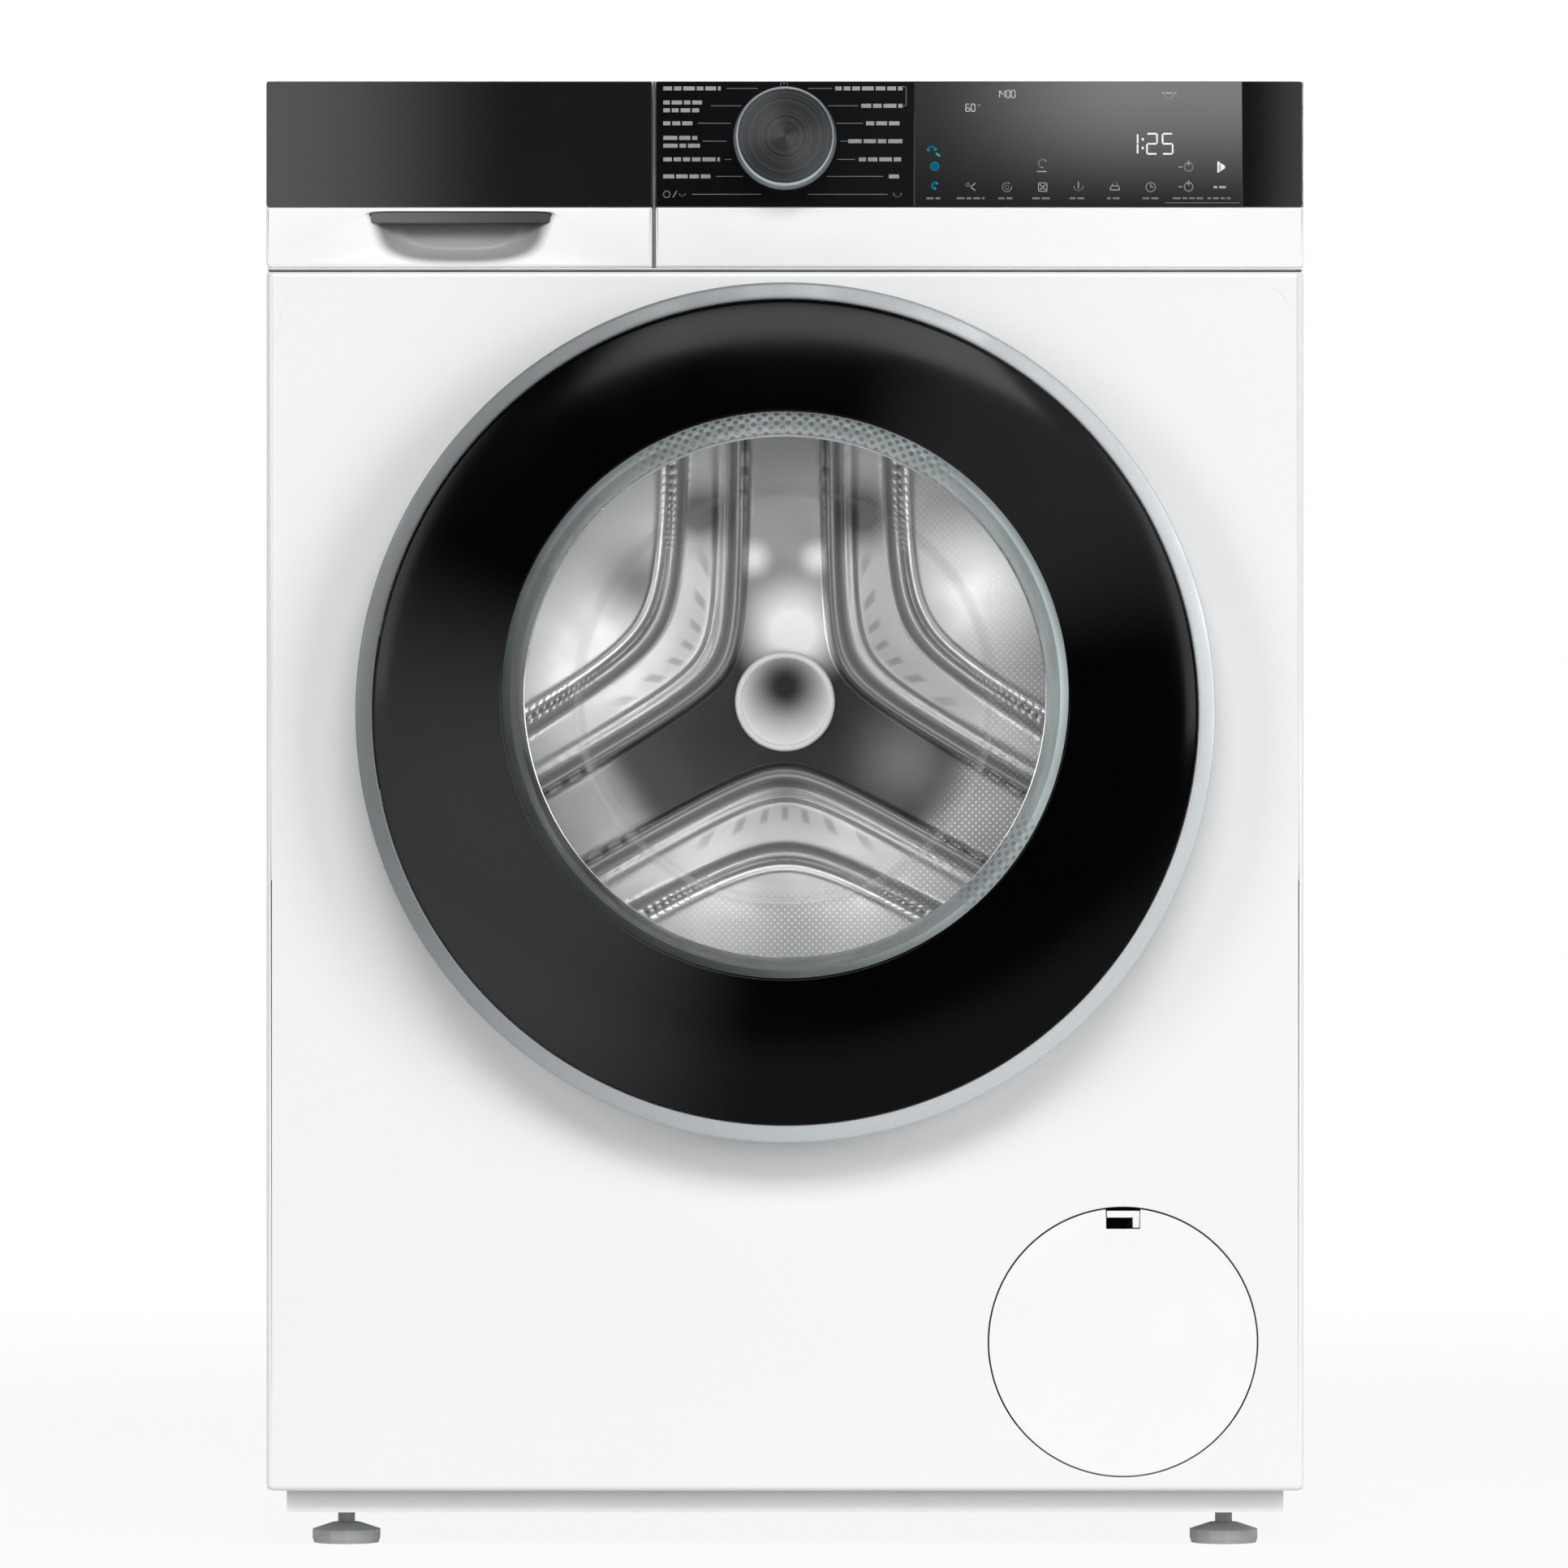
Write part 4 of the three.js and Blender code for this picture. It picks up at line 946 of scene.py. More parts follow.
def knob_rim():
    """Bright turned metal with a painted highlight, brightest underneath."""
    look = Look("knob rim", Metallic=0.5)
    angle, _ = around(look, KNOB.z)
    # Painted highlight: brightest below the middle and darker above.
    tone = look.times(sided(look, angle, -100, 0.16, 0.72), look.range(look.noise(300.0), 0.92, 1.0))
    look.color(look.tinted(tone, 0.86, 1, 1.07))
    look.gloss(0.3, 0.4, 60.0, 4.0)
    return look.material


def knob():
    front, base = KNOB_LOW.y, -270.5
    shell = Shell()
    shell.lathe([(0, front + 0.25), (27.0, front + 0.25), (27.0, front + 1.4), (0, front + 1.4)],
                (KNOB.x, KNOB.z), 192, closed=False)
    finish_piece("knob_disc", shell, knob_face(), "selector_knob", ["selector_knob"])
    shell = Shell()
    shell.lathe([(27.05, front + 1.6), (27.05, front + 0.3), (27.25, front), (27.9, front + 0.15),
                 (28.3, front + 0.8), (28.5, front + 1.8), (29.5, base - 2.2), (29.7, base - 1.4),
                 (29.6, base - 0.4), (29.1, base), (3, base), (3, -259), (0, -259), (0, front + 1.6)],
                (KNOB.x, KNOB.z), 192, closed=False)
    finish_piece("knob_rim", shell, knob_rim(), "selector_knob")


knob()


# ---- Printed marks ----

MARK = 0.14


def strokes(shell, points, width, closed=False):
    """Flat raised strokes along a line of (x, z) points on the fascia's front."""
    points = points + points[:1] if closed else points
    for (xa, za), (xb, zb) in zip(points, points[1:]):
        along = Vector((xb - xa, zb - za))
        if along.length < 1e-6:
            continue
        along.normalize()
        side = Vector((-along.y, along.x)) * width / 2
        a, b = Vector((xa, za)) - along * width / 2, Vector((xb, zb)) + along * width / 2
        corners = [a + side, a - side, b - side, b + side]
        shell.rings([[(c.x, depth, c.y) for c in corners] for depth in (FRONT - MARK, FRONT + 0.1)],
                    closed=False, caps=True)


def arc(shell, x, z, radius, width, count, start=0.0, sweep=360.0):
    """Flat raised strokes along part of a circle; its angles are in degrees."""
    angles = [math.radians(start + sweep * j / count) for j in range(count + 1)]
    strokes(shell, [(x + radius * math.cos(a), z + radius * math.sin(a)) for a in angles], width)


def bars(shell, left, right, z, height=2.3, word=7.0):
    """Plain bars that stand for a line of small print."""
    x = left
    while x < right - 1.0:
        length = min(word * random.uniform(0.5, 1.2), right - x)
        shell.rings([[(x, d, z - height / 2), (x + length, d, z - height / 2),
                      (x + length, d, z + height / 2), (x, d, z + height / 2)]
                     for d in (FRONT - MARK, FRONT + 0.1)], closed=False, caps=True)
        x += length + 1.1


def print_marks(name, shell, ink):
    finish_piece(name, shell, ink, casing, weighted=False)


SEGMENTS = {"0": "abcdef", "1": "bc", "2": "abged", "4": "fgbc", "5": "afgcd", "6": "afgedc"}


def digit(shell, mark, x, z, height, width):
    """A seven-segment figure with its lower left corner at x, z."""
    w, h, gap = height * 0.5, height / 2, width * 0.8
    ends = {"a": ((0, 2), (1, 2)), "b": ((1, 2), (1, 1)), "c": ((1, 1), (1, 0)), "d": ((0, 0), (1, 0)),
            "e": ((0, 1), (0, 0)), "f": ((0, 2), (0, 1)), "g": ((0, 1), (1, 1))}
    for key in SEGMENTS[mark]:
        (ua, va), (ub, vb) = ends[key]
        du, dv = (gap if ua != ub else 0), (gap if va != vb else 0)
        low = (x + min(ua, ub) * w + du, z + min(va, vb) * h + dv)
        high = (x + max(ua, ub) * w - du, z + max(va, vb) * h - dv)
        strokes(shell, [low, high], width)


def programme_marks():
    """A line from the knob to each programme, and plain bars for the programmes' names."""
    rows = [841.9, 831.9, 821.8, 811.5, 801.0, 791.2, 780.9]
    left = [(-33.3, -16.0), (-42.6, -25.4), (-50.1, -31.4), (-47.3, -33.8), (-34.7, -31.0),
            (-39.4, -24.4), (-53.4, -14.1)]
    right = [(13.4, 27.0), (25.1, 41.9), (29.8, 44.7), (32.1, 35.9), (30.3, 40.1), (24.2, 56.4),
             (13.4, 58.8)]
    shell = Shell()
    for ends in (left, right):
        for z, (xa, xb) in zip(rows, ends):
            strokes(shell, [(xa, z), (xb, z)], 0.42)
    arc(shell, -0.6, 844.2, 2.0, 0.4, 12, 115, 310)
    strokes(shell, [(-0.6, 844.4), (-0.6, 845.4)], 0.4)
    strokes(shell, [(67.8, 843), (69.8, 843), (69.8, 831.9), (67.8, 831.9)], 0.4)
    print_marks("programme_lines", shell, LINE_INK)
    shell = Shell()
    for right_end, z in ((-37.0, 841.9), (-46.5, 833.8), (-49.5, 829.3), (-53.4, 821.8), (-50.5, 813.4),
                         (-49.0, 808.9), (-37.5, 801.0), (-43.0, 791.2)):
        bars(shell, -70.2, right_end, z)
    for left_end, z in zip((28.9, 43.9, 46.7, 36.4, 42.5, 59.8), rows):
        bars(shell, left_end, 67.7, z)
    arc(shell, -68.2, 780.9, 1.9, 0.5, 12)
    strokes(shell, [(-64.5, 779.3), (-62.5, 782.6)], 0.45)
    arc(shell, -59.2, 781.6, 1.7, 0.5, 8, 200, 140)
    arc(shell, 64.8, 781.6, 2.2, 0.5, 10, 190, 160)
    print_marks("programme_labels", shell, LABEL_INK)


programme_marks()


def display_marks():
    """The time, two plain values, the touch symbols over bars for their captions, and teal lights."""
    lit = Shell()
    digit(lit, "1", 197.4, 804.2, 11.6, 0.95)
    for z in (807.4, 812.4):
        strokes(lit, [(206.2, z), (206.2, z + 0.4)], 1.1)
    digit(lit, "2", 208.6, 804.2, 11.6, 0.95)
    digit(lit, "5", 217.6, 804.2, 11.6, 0.95)
    strokes(lit, [(250.6, 798.4), (250.6, 794.8)], 0.9)
    for k in range(6):
        strokes(lit, [(249.6 + 0.7 * k, 799.4 - 0.46 * k), (249.6 + 0.7 * k, 793.8 + 0.46 * k)], 0.8)
    print_marks("display_time", lit, DIGITS)
    dim, upper = Shell(), Shell()
    for k, mark in enumerate("1400"):
        digit(upper, mark, 121.5 + 3.0 * k, 836.6, 4.2, 0.6)
    for k, mark in enumerate("60"):
        digit(upper, mark, 104.2 + 3.1 * k, 828.7, 4.2, 0.6)
    arc(upper, 111.8, 832.0, 0.7, 0.4, 8)
    arc(upper, 221.4, 838.2, 2.4, 0.6, 14)
    strokes(upper, [(217.4, 839.2), (225.4, 839.2)], 0.6)
    print_marks("display_values", upper, BRIGHT_INK)
    arc(dim, 148.5, 798.6, 2.4, 0.6, 10, 40, 230)
    strokes(dim, [(145.5, 794.0), (150.5, 794.0)], 0.6)
    for x, z in ((232.6, 796.6), (232.6, 785.2)):
        arc(dim, x, z, 2.5, 0.6, 12, 110, 320)
        strokes(dim, [(x, z + 1.2), (x, z + 3.4)], 0.6)
        strokes(dim, [(x - 5.5, z), (x - 3.9, z)], 0.55)
    z = 785.0
    for k, x in enumerate((107.0, 127.9, 148.5, 169.1, 190.1, 210.7)):
        if k == 0:
            arc(dim, x - 1.6, z + 1.4, 1.0, 0.45, 8)
            strokes(dim, [(x + 2.4, z + 2.2), (x, z), (x + 2.4, z - 1.8)], 0.5)
        elif k == 1:
            arc(dim, x, z, 2.6, 0.5, 14, 60, 300)
            arc(dim, x, z, 1.1, 0.45, 10, 240, 300)
        elif k == 2:
            box = [(x - 2.4, z - 2.4), (x + 2.4, z - 2.4), (x + 2.4, z + 2.4), (x - 2.4, z + 2.4)]
            strokes(dim, box, 0.45, closed=True)
            strokes(dim, [(x - 1.6, z - 1.6), (x + 1.6, z + 1.6)], 0.45)
            strokes(dim, [(x - 1.6, z + 1.6), (x + 1.6, z - 1.6)], 0.45)
        elif k == 3:
            arc(dim, x, z + 0.6, 2.6, 0.5, 10, 190, 160)
            strokes(dim, [(x, z + 3.0), (x, z - 0.6)], 0.5)
        elif k == 4:
            tub = [(x - 2.8, z - 1.6), (x + 2.8, z - 1.6), (x + 2.0, z + 0.8), (x - 2.0, z + 0.8)]
            strokes(dim, tub, 0.5, closed=True)
            arc(dim, x, z + 1.6, 1.4, 0.5, 8, 0, 180)
        else:
            arc(dim, x, z, 2.7, 0.5, 14)
            strokes(dim, [(x, z + 1.6), (x, z), (x + 1.3, z)], 0.45)
    bars(dim, 247.0, 256.0, z, 1.3, 4.0)
    print_marks("display_icons", dim, INK)
    faint = Shell()
    for x, half in ((85.5, 4.0), (107.0, 8.0), (127.9, 5.0), (148.5, 6.0), (169.1, 5.0), (190.1, 4.5),
                    (210.7, 4.5), (232.6, 9.0), (251.0, 7.5)):
        bars(faint, x - half, x + half, 778.6, 1.1, 4.0)
    strokes(faint, [(219, 776.0), (262, 776.0)], 0.35)
    print_marks("display_captions", faint, DIM_INK)
    teal = Shell()
    arc(teal, 84.6, 806.2, 2.0, 1.4, 8, 20, 150)
    strokes(teal, [(87.6, 804.2), (88.8, 803.2)], 1.2)
    arc(teal, 86.3, 797.0, 1.3, 2.0, 10)
    arc(teal, 86.6, 785.9, 1.6, 1.3, 8, 60, 200)
    print_marks("teal_icons", teal, TEAL)


display_marks()


# ---- Door ----


def carve(mesh, cutter):
    """Cuts one closed mesh from another; both are in millimetres."""
    body, tool = in_scene("body", mesh), in_scene("tool", cutter)
    cut = body.modifiers.new("Cut", "BOOLEAN")
    cut.operation, cut.object, cut.solver = "DIFFERENCE", tool, "EXACT"
    made = applied(body)
    bpy.data.objects.remove(tool)
    return made


def cutter(low, high):
    shell = Shell()
    shell.block(low, high)
    return shell.mesh("cutter")


def ring_lacquer():
    """Silver lacquer on the door's ring, with painted light: brighter towards the lower right and deeper
    in tone at the upper left.
    """
    look = Look("ring lacquer", Metallic=0.25)
    angle, _ = around(look, RING.z)
    flake = look.range(look.noise(900.0, 3.0), 0.92, 1.0, 0.3, 0.7)
    # Painted light: brighter towards the lower right, darker at the upper left.
    look.color(look.tinted(look.times(sided(look, angle, -30, 0.17, 0.62), flake), 0.95, 1, 1.03))
    look.gloss(0.36, 0.46, 40.0, 4.0)
    return look.material


RING_AT = (RING.x, RING.z)
BOWL_AT = (BOWL.x, AXIS_Z)


def black_glass():
    """Toughened glass printed black from behind, with painted reflections that make it a little lighter
    at the lower left and upper right.
    """
    look = Look("black glass", Specular_IOR_Level=0.1)
    angle, _ = around(look, AXIS_Z)
    # Painted reflections at the lower left and at the upper right.
    painted_reflection = look.math("MAXIMUM", sided(look, angle, 210, 0.0, 1.0, 0.55, 1.02),
                      sided(look, angle, 42, 0.0, 0.42, 0.8, 1.0))
    tone = look.times(painted_reflection, look.range(look.noise(5.0, 4.0), 0.9, 1.0, 0.3, 0.7))
    look.color(look.mix(tone, (0.0006, 0.0006, 0.0007), (0.036, 0.036, 0.037)))
    look.gloss(0.13, 0.19, 12.0, 5.0)
    look.bump(look.noise(6.0, 2.0), 0.03, 0.0004)
    return look.material


def band_glass():
    """The bowl's thick rim: grey-green glass with painted light, lighter towards the upper right, a
    painted highlight along its inner edge, and a dotted frit over the top and at the lower right.
    """
    look = Look("rim glass", Specular_IOR_Level=0.4)
    angle, radius = around(look, AXIS_Z)
    grid = look.node("CombineXYZ", X=look.times(angle, 36.0), Y=look.times(radius, 330.0), Z=0.0)
    dots = look.dots(grid.outputs[0], 0.92, 0.22, 0.42)
    spread = [look.range(look.apart(angle, math.radians(towards)), solid, 0.0, math.radians(near),
                         math.radians(far))
              for towards, solid, near, far in ((88, 1.0, 24, 40), (-38, 0.6, 8, 14))]
    frit = look.times(dots, look.math("MAXIMUM", *spread), 0.75)
    streak = look.range(look.noise(35.0, 3.0), 0.88, 1.06, 0.3, 0.7)
    deep = look.range(look.axes()[1], 0.82, 1.15, -0.3, -0.26)
    # Painted light: lighter towards the upper right and darker at the lower left.
    base = look.tinted(look.times(sided(look, angle, 38, 0.08, 1.0), streak, deep), 0.88, 1, 1)
    # Painted highlight: a pale line along the inner edge.
    edge = look.range(radius, 0.0, 0.15, 0.1535, 0.1515)
    look.color(look.mix(frit, look.mix(edge, base, (0.6, 0.64, 0.64)), (0.09, 0.105, 0.105)))
    look.gloss(0.12, 0.25, 30.0, 4.0)
    look.alpha(0.93)
    return look.material


def clear_glass():
    """Clear glass with a faint smoky tint, and a painted highlight: a pale ring at the edge of the bowl's
    flat base.
    """
    look = Look("clear glass")
    _, radius = around(look, AXIS_Z)
    # Painted highlight: a pale, less clear ring where the bowl's flat base bends.
    painted_glint = look.range(look.apart(radius, 0.121), 0.12, 0.0, 0.0008, 0.005)
    look.alpha(look.plus(painted_glint, 0.05))
    smoke = look.mottled((7.0, 3.0), grey(0.1), grey(0.14))
    look.color(look.mix(look.times(painted_glint, 7.0), smoke, grey(0.5)))
    look.gloss(0.02, 0.05, 20.0, 3.0)
    return look.material


def door():
    """The ring with its cut for the hinge leaf, the black glass, the window's band and the bowl."""
    shell = Shell()
    shell.lathe([(236.7, -307.0), (236.9, -308.3), (237.6, -308.8), (239.0, -308.7), (244.6, -307.3),
                 (245.9, -306.6), (246.4, -305.4), (246.5, -303.6), (246.5, -277.5), (246.1, -275.5),
                 (245.0, -274.2), (243.6, -274.0), (242.6, -275.0), (242.5, -297.0), (240.6, -301.0),
                 (237.2, -303.4)], RING_AT, 256)
    ring = carve(shell.mesh("ring"), cutter((-250, -300, RING.z - 47), (-181, -270, RING.z + 47)))
    finish_piece("door_rim", ring, ring_lacquer(), "door", ["door_outer_ring"])

    def ringed(centre, radius, depth):
        u0, v0 = centre
        return [(u0 + radius * math.cos(a), depth, v0 + radius * math.sin(a))
                for a in (TAU * j / 256 for j in range(256))]

    front = [(182, -318.4), (200, -317), (214, -314.8), (226, -312.1), (234.6, -309.4)]
    edge = [(235.8, -308.6), (236.3, -307.4), (235.9, -306.2), (234.6, -305.6)]
    rear = [(r, y + 4.2) for r, y in reversed(front[:-1])]
    rings = [ringed(BOWL_AT, WINDOW_RADIUS + extra, depth)
             for extra, depth in ((0, -317.4), (0.25, -318.3), (0.9, -318.85), (1.7, -319.0))]
    rings += [ringed(RING_AT, radius, depth) for radius, depth in front + edge + rear]
    rings += [ringed(BOWL_AT, WINDOW_RADIUS + extra, -314.9) for extra in (1.6, 0)]
    shell = Shell()
    shell.rings(rings, closed=True)
    finish_piece("door_glass", shell, black_glass(), "door", ["door_glass_panel"],
                 sharp=50)
    shell = Shell()
    shell.lathe([(157.6, -309.0), (159.4, -309.4), (174.6, -309.4), (175, -309), (175, -304.4),
                 (174.4, -304), (162.5, -304), (161.0, -296), (157.6, -275), (155.2, -260),
                 (154.2, -253), (151.3, -252.6), (151.6, -256), (152.2, -264), (153.2, -276),
                 (154.8, -291)], BOWL_AT, 256)
    finish_piece("window_band", shell, band_glass(), "door", ["door_bowl"])
    outer = [(153.9, -252.3), (151.6, -240), (148, -225), (141, -207), (133, -189), (127.5, -175.5),
             (124, -169.5), (118, -166.4), (100, -164), (70, -161.6), (35, -160.3), (0, -160)]
    inner = [(0, -165), (35, -165.4), (70, -166.8), (98, -169.4), (114, -172.4), (120, -175.5),
             (124, -181), (129, -192), (137, -210), (143.2, -226), (147.6, -240), (151.0, -252.2)]
    shell = Shell()
    shell.lathe(outer + inner, BOWL_AT, 224)
    finish_piece("window_bowl", shell, clear_glass(), "door")


door()


def door_seal():
    """The bellows between the front panel and the tub, softly folded."""
    profile = [(180.3, -267.2), (183, -268.2), (185.6, -267.4), (186.6, -265.4), (184.6, -262),
               (181.4, -257.6), (181.2, -245), (181.2, -231), (179.6, -226.4), (174.6, -222.6),
               (172.4, -219), (174.6, -215.6), (179.2, -212), (180.2, -207), (180.2, -196),
               (179.2, -195), (177.2, -195), (176.3, -196), (176.3, -206), (174.2, -210.4),
               (170.2, -215), (168.6, -219), (170.4, -223.4), (175.2, -228.2), (177.2, -232),
               (177.4, -248), (175.4, -252.4), (168, -255.2), (160.4, -257.4), (158.6, -259),
               (158.5, -261), (159.6, -262.1), (166, -262.6), (172.4, -263), (177, -265)]
    shell = Shell()
    shell.lathe(profile, BOWL_AT, 192)
    ends = (casing, "tub", Vector((0, -0.256, 0.492)), Vector((0, -0.21, 0.492)))
    finish_piece("seal_bellows", shell, GREY_RUBBER, ends, ["door_seal"], sharp=60,
                 weighted=False)


door_seal()


# ---- Drum ----

SECTORS = (30, 150, 270)
SLANT, INNER_BEND, OUTER_BEND = 0.577, 24, 34
HUB_HOLE, BACK_RADIUS = 24, 243.4
DRUM_BACK = span("drum_back")
WALL_Y = DRUM_BACK[1].y - 1.2


def ease(value, start, end):
    t = max(0.0, min(1.0, (value - start) / (end - start)))
    return t * t * (3 - 2 * t)


def back_relief(x, z):
    """How far the drum's back wall stands forward at a place, from its three pressed sectors."""
    radius, angle = math.hypot(x, z), math.degrees(math.atan2(z, x))
    sector = min(SECTORS, key=lambda s: abs((angle - s + 180) % 360 - 180))
    turn = math.radians(angle - sector)
    along, across = radius * math.cos(turn), radius * math.sin(turn)
    inner = along - SLANT * (math.hypot(across, INNER_BEND) - INNER_BEND)
    outer = along - SLANT * (math.hypot(across, OUTER_BEND) - OUTER_BEND)
    height = 9.0 + 1.6 * math.exp(-((inner - 41) / 2.4) ** 2)
    height -= 9.0 * ease(inner, 43, 54)
    height += 1.1 * math.exp(-((inner - 58.5) / 2.6) ** 2)
    height += 8.2 * ease(outer, 86, 94) - 1.9 * math.exp(-((outer - 97.5) / 1.8) ** 2)
    height += 1.3 * math.exp(-((outer - 101.5) / 2.2) ** 2)
    return height * (1 - ease(radius, 200, 236))


def back_steel():
    """The pressed back wall: satin steel with painted shade on the raised star, darkest near the middle
    and lighter outwards and upwards, painted pools of light and shade, painted highlights and shade
    lines along the pressed edges, drain holes in the valleys, and fine perforations outside that show
    as pale dots, a painted highlight, only towards the lower right."""
    look = Look("drum back steel", Metallic=0.6)
    x, _, z = look.axes()
    up = look.minus(z, AXIS_Z * MM)
    angle, radius = around(look, AXIS_Z)

    def reach(bend):
        """How far out a point lies, square to the nearest pressing's bent edge."""
        best = None
        for turn in (math.radians(sector) for sector in SECTORS):
            along = look.plus(look.times(x, math.cos(turn)), look.times(up, math.sin(turn)))
            across = look.minus(look.times(up, math.cos(turn)), look.times(x, math.sin(turn)))
            curve = look.math("SQRT", look.plus(look.times(across, across), bend ** 2))
            out = look.minus(along, look.times(look.minus(curve, bend), SLANT))
            best = out if best is None else look.math("MAXIMUM", best, out)
        return best

    def line(field, at, half, strength):
        return look.range(look.apart(field, at * MM), strength, 0.0, half * 0.3 * MM, half * MM)

    def spot(across, rise, size, strength):
        away = look.length(look.minus(x, across * MM), look.minus(up, rise * MM))
        return look.range(away, strength, 0.0, 0.0, size * MM)

    inner, outer = reach(INNER_BEND * MM), reach(OUTER_BEND * MM)
    star = look.range(inner, 1.0, 0.0, 0.0405, 0.043)
    outside = look.range(outer, 0.0, 1.0, 0.1, 0.106)
    valley = look.times(look.range(inner, 0.0, 1.0, 0.045, 0.05),
                        look.range(outer, 1.0, 0.0, 0.084, 0.09))
    # Painted shade on the raised star: darkest near the middle, lighter outwards and upwards.
    pale = look.math("MAXIMUM", look.range(radius, 0.0, 1.0, 0.1, 0.135),
                     look.range(up, 0.0, 1.0, 0.02, 0.07))
    tone = look.mix(star, look.mottled((9.0, 5.0), grey(0.36), grey(0.43)),
                    look.mix(pale, grey(0.018), grey(0.22)))
    # Painted pools of light and shade, each given by across, rise, size, strength, the part it falls on
    # and its grey.
    for across, rise, size, strength, where, shade in (
            (5, 42, 42, 1.3, star, 0.95), (-20, 88, 16, 0.6, star, 0.9), (21, 88, 16, 0.6, star, 0.9),
            (68, -34, 44, 0.9, star, 0.12), (132, 78, 62, 1.0, outside, 0.9),
            (-90, 72, 42, 0.85, outside, 0.08), (-134, 4, 44, 0.6, outside, 0.6),
            (0, -138, 60, 0.7, outside, 0.2), (-52, 116, 34, 1.2, valley, 0.07),
            (48, 116, 34, 1.2, valley, 0.07), (0, -52, 22, 0.8, valley, 0.16)):
        tone = look.mix(look.times(spot(across, rise, size, strength), where), tone, grey(shade))
    # Painted highlights and painted shade lines along the pressed edges.
    for field, at, half, strength, shade in (
            (inner, 41.0, 1.6, 0.7, 0.03), (inner, 45.6, 1.3, 0.75, 0.95), (inner, 49.4, 1.8, 0.2, 0.1),
            (outer, 88.6, 2.0, 0.2, 0.08), (outer, 92.8, 1.3, 0.35, 0.8), (outer, 96.8, 1.8, 0.45, 0.08),
            (outer, 102.4, 2.6, 0.7, 0.9)):
        tone = look.mix(line(field, at, half, strength), tone, grey(shade))
    flat = look.node("CombineXYZ", X=x, Y=up, Z=0.0).outputs[0]
    # The perforations show as pale dots, a painted highlight, only towards the lower right.
    side = look.math("MAXIMUM", sided(look, angle, -30, -0.5, 0.9), 0.0)
    beyond = look.range(radius, 0.0, 1.0, 0.11, 0.13)
    pattern = look.times(look.dots(flat, 330.0, 0.14, 0.3, 0.42), beyond, side)
    tone = look.mix(pattern, tone, grey(0.95))
    wave = look.range(look.math("COSINE", look.times(angle, 36.0)), 0.0, 1.0, 0.1, 0.9)
    holes = look.times(wave, line(inner, 69.0, 6.0, 0.4), look.range(radius, 1.0, 0.0, 0.095, 0.112))
    look.color(look.mix(holes, tone, grey(0.06)))
    look.gloss(0.28, 0.34, 40.0, 4.0)
    look.bump(look.minus(look.times(pattern, 0.4), holes), 0.25, 0.0005)
    return look.material


def drum_back():
    turns = [TAU * j / 360 for j in range(360)]
    radii = [HUB_HOLE + 0.9 * k for k in range(168)]
    radii += [175.2 + (BACK_RADIUS - 175.2) * k / 22 for k in range(1, 23)]
    rings = [[(x, WALL_Y - back_relief(x, z), AXIS_Z + z)
              for x, z in ((r * math.cos(turn), r * math.sin(turn)) for turn in turns)] for r in radii]
    rings += [[(r * math.cos(turn), WALL_Y + 1.2, AXIS_Z + r * math.sin(turn)) for turn in turns]
              for r in (BACK_RADIUS, HUB_HOLE)]
    shell = Shell()
    shell.rings(rings, closed=True)
    finish_piece("drum_back_wall", shell, back_steel(), "drum", ["drum_back"],
                 sharp=50, weighted=False)


drum_back()


def drum_steel():
    """The drum's side wall, perforated in a fine pattern."""
    look = Look("drum side steel", Metallic=1.0)
    angle, _ = around(look, AXIS_Z)
    y = look.axes()[1]
    flat = look.node("CombineXYZ", X=look.times(angle, 0.245), Y=y, Z=0.0).outputs[0]
    inside = look.range(look.apart(y, -0.005), 1.0, 0.0, 0.135, 0.137)
    holes = look.times(look.dots(flat, 130.0, 0.2, 0.27), inside)
    base = look.mottled((12.0, 5.0), (0.55, 0.56, 0.565), (0.7, 0.71, 0.72))
    look.color(look.mix(holes, base, (0.02, 0.02, 0.022)))
    look.gloss(0.22, 0.32, 40.0, 4.0)
    look.bump(look.times(holes, -1.0), 0.6, 0.0008)
    return look.material


def drum_shell():
    outside = [(152.6, -173.6), (154.4, -174.4), (157, -173.8), (160, -172), (200, -170), (232, -168.4),
               (239.5, -166.6), (243.6, -163), (245, -158), (245, -150), (245, 150), (245.8, 154),
               (245.8, 160), (245, 164), (245, 168)]
    inside = [(243.8, 168), (243.8, 164), (244.4, 160), (244.4, 154), (243.8, 150), (243.8, -157.6),
              (242.4, -162), (238.6, -165.2), (231.6, -167), (200, -168.8), (160.4, -170.8),
              (157, -172.4), (154.8, -172.6), (153.4, -171.6), (152.4, -171.6)]
    shell = Shell()
    shell.lathe(outside + inside, (0, AXIS_Z), 224)
    finish_piece("drum_wall", shell, drum_steel(), "drum", ["drum_shell"], sharp=50)


drum_shell()


def hub_steel():
    """Polished steel with a painted reflection: the dome darkens towards a spot just above its middle."""
    look = Look("hub steel", Specular_IOR_Level=0.2)
    _, away = around(look, AXIS_Z + 9)
    _, radius = around(look, AXIS_Z)
    # Painted reflection: dark at a spot above the middle, pale further out and on the rim.
    dome = look.mix(look.range(away, 0.0, 1.0, 0.004, 0.036), grey(0.001), grey(0.98))
    look.color(look.mix(look.range(radius, 0.0, 1.0, 0.0264, 0.0272), dome, grey(0.98)))
    look.gloss(0.32, 0.4, 50.0, 4.0)
    return look.material


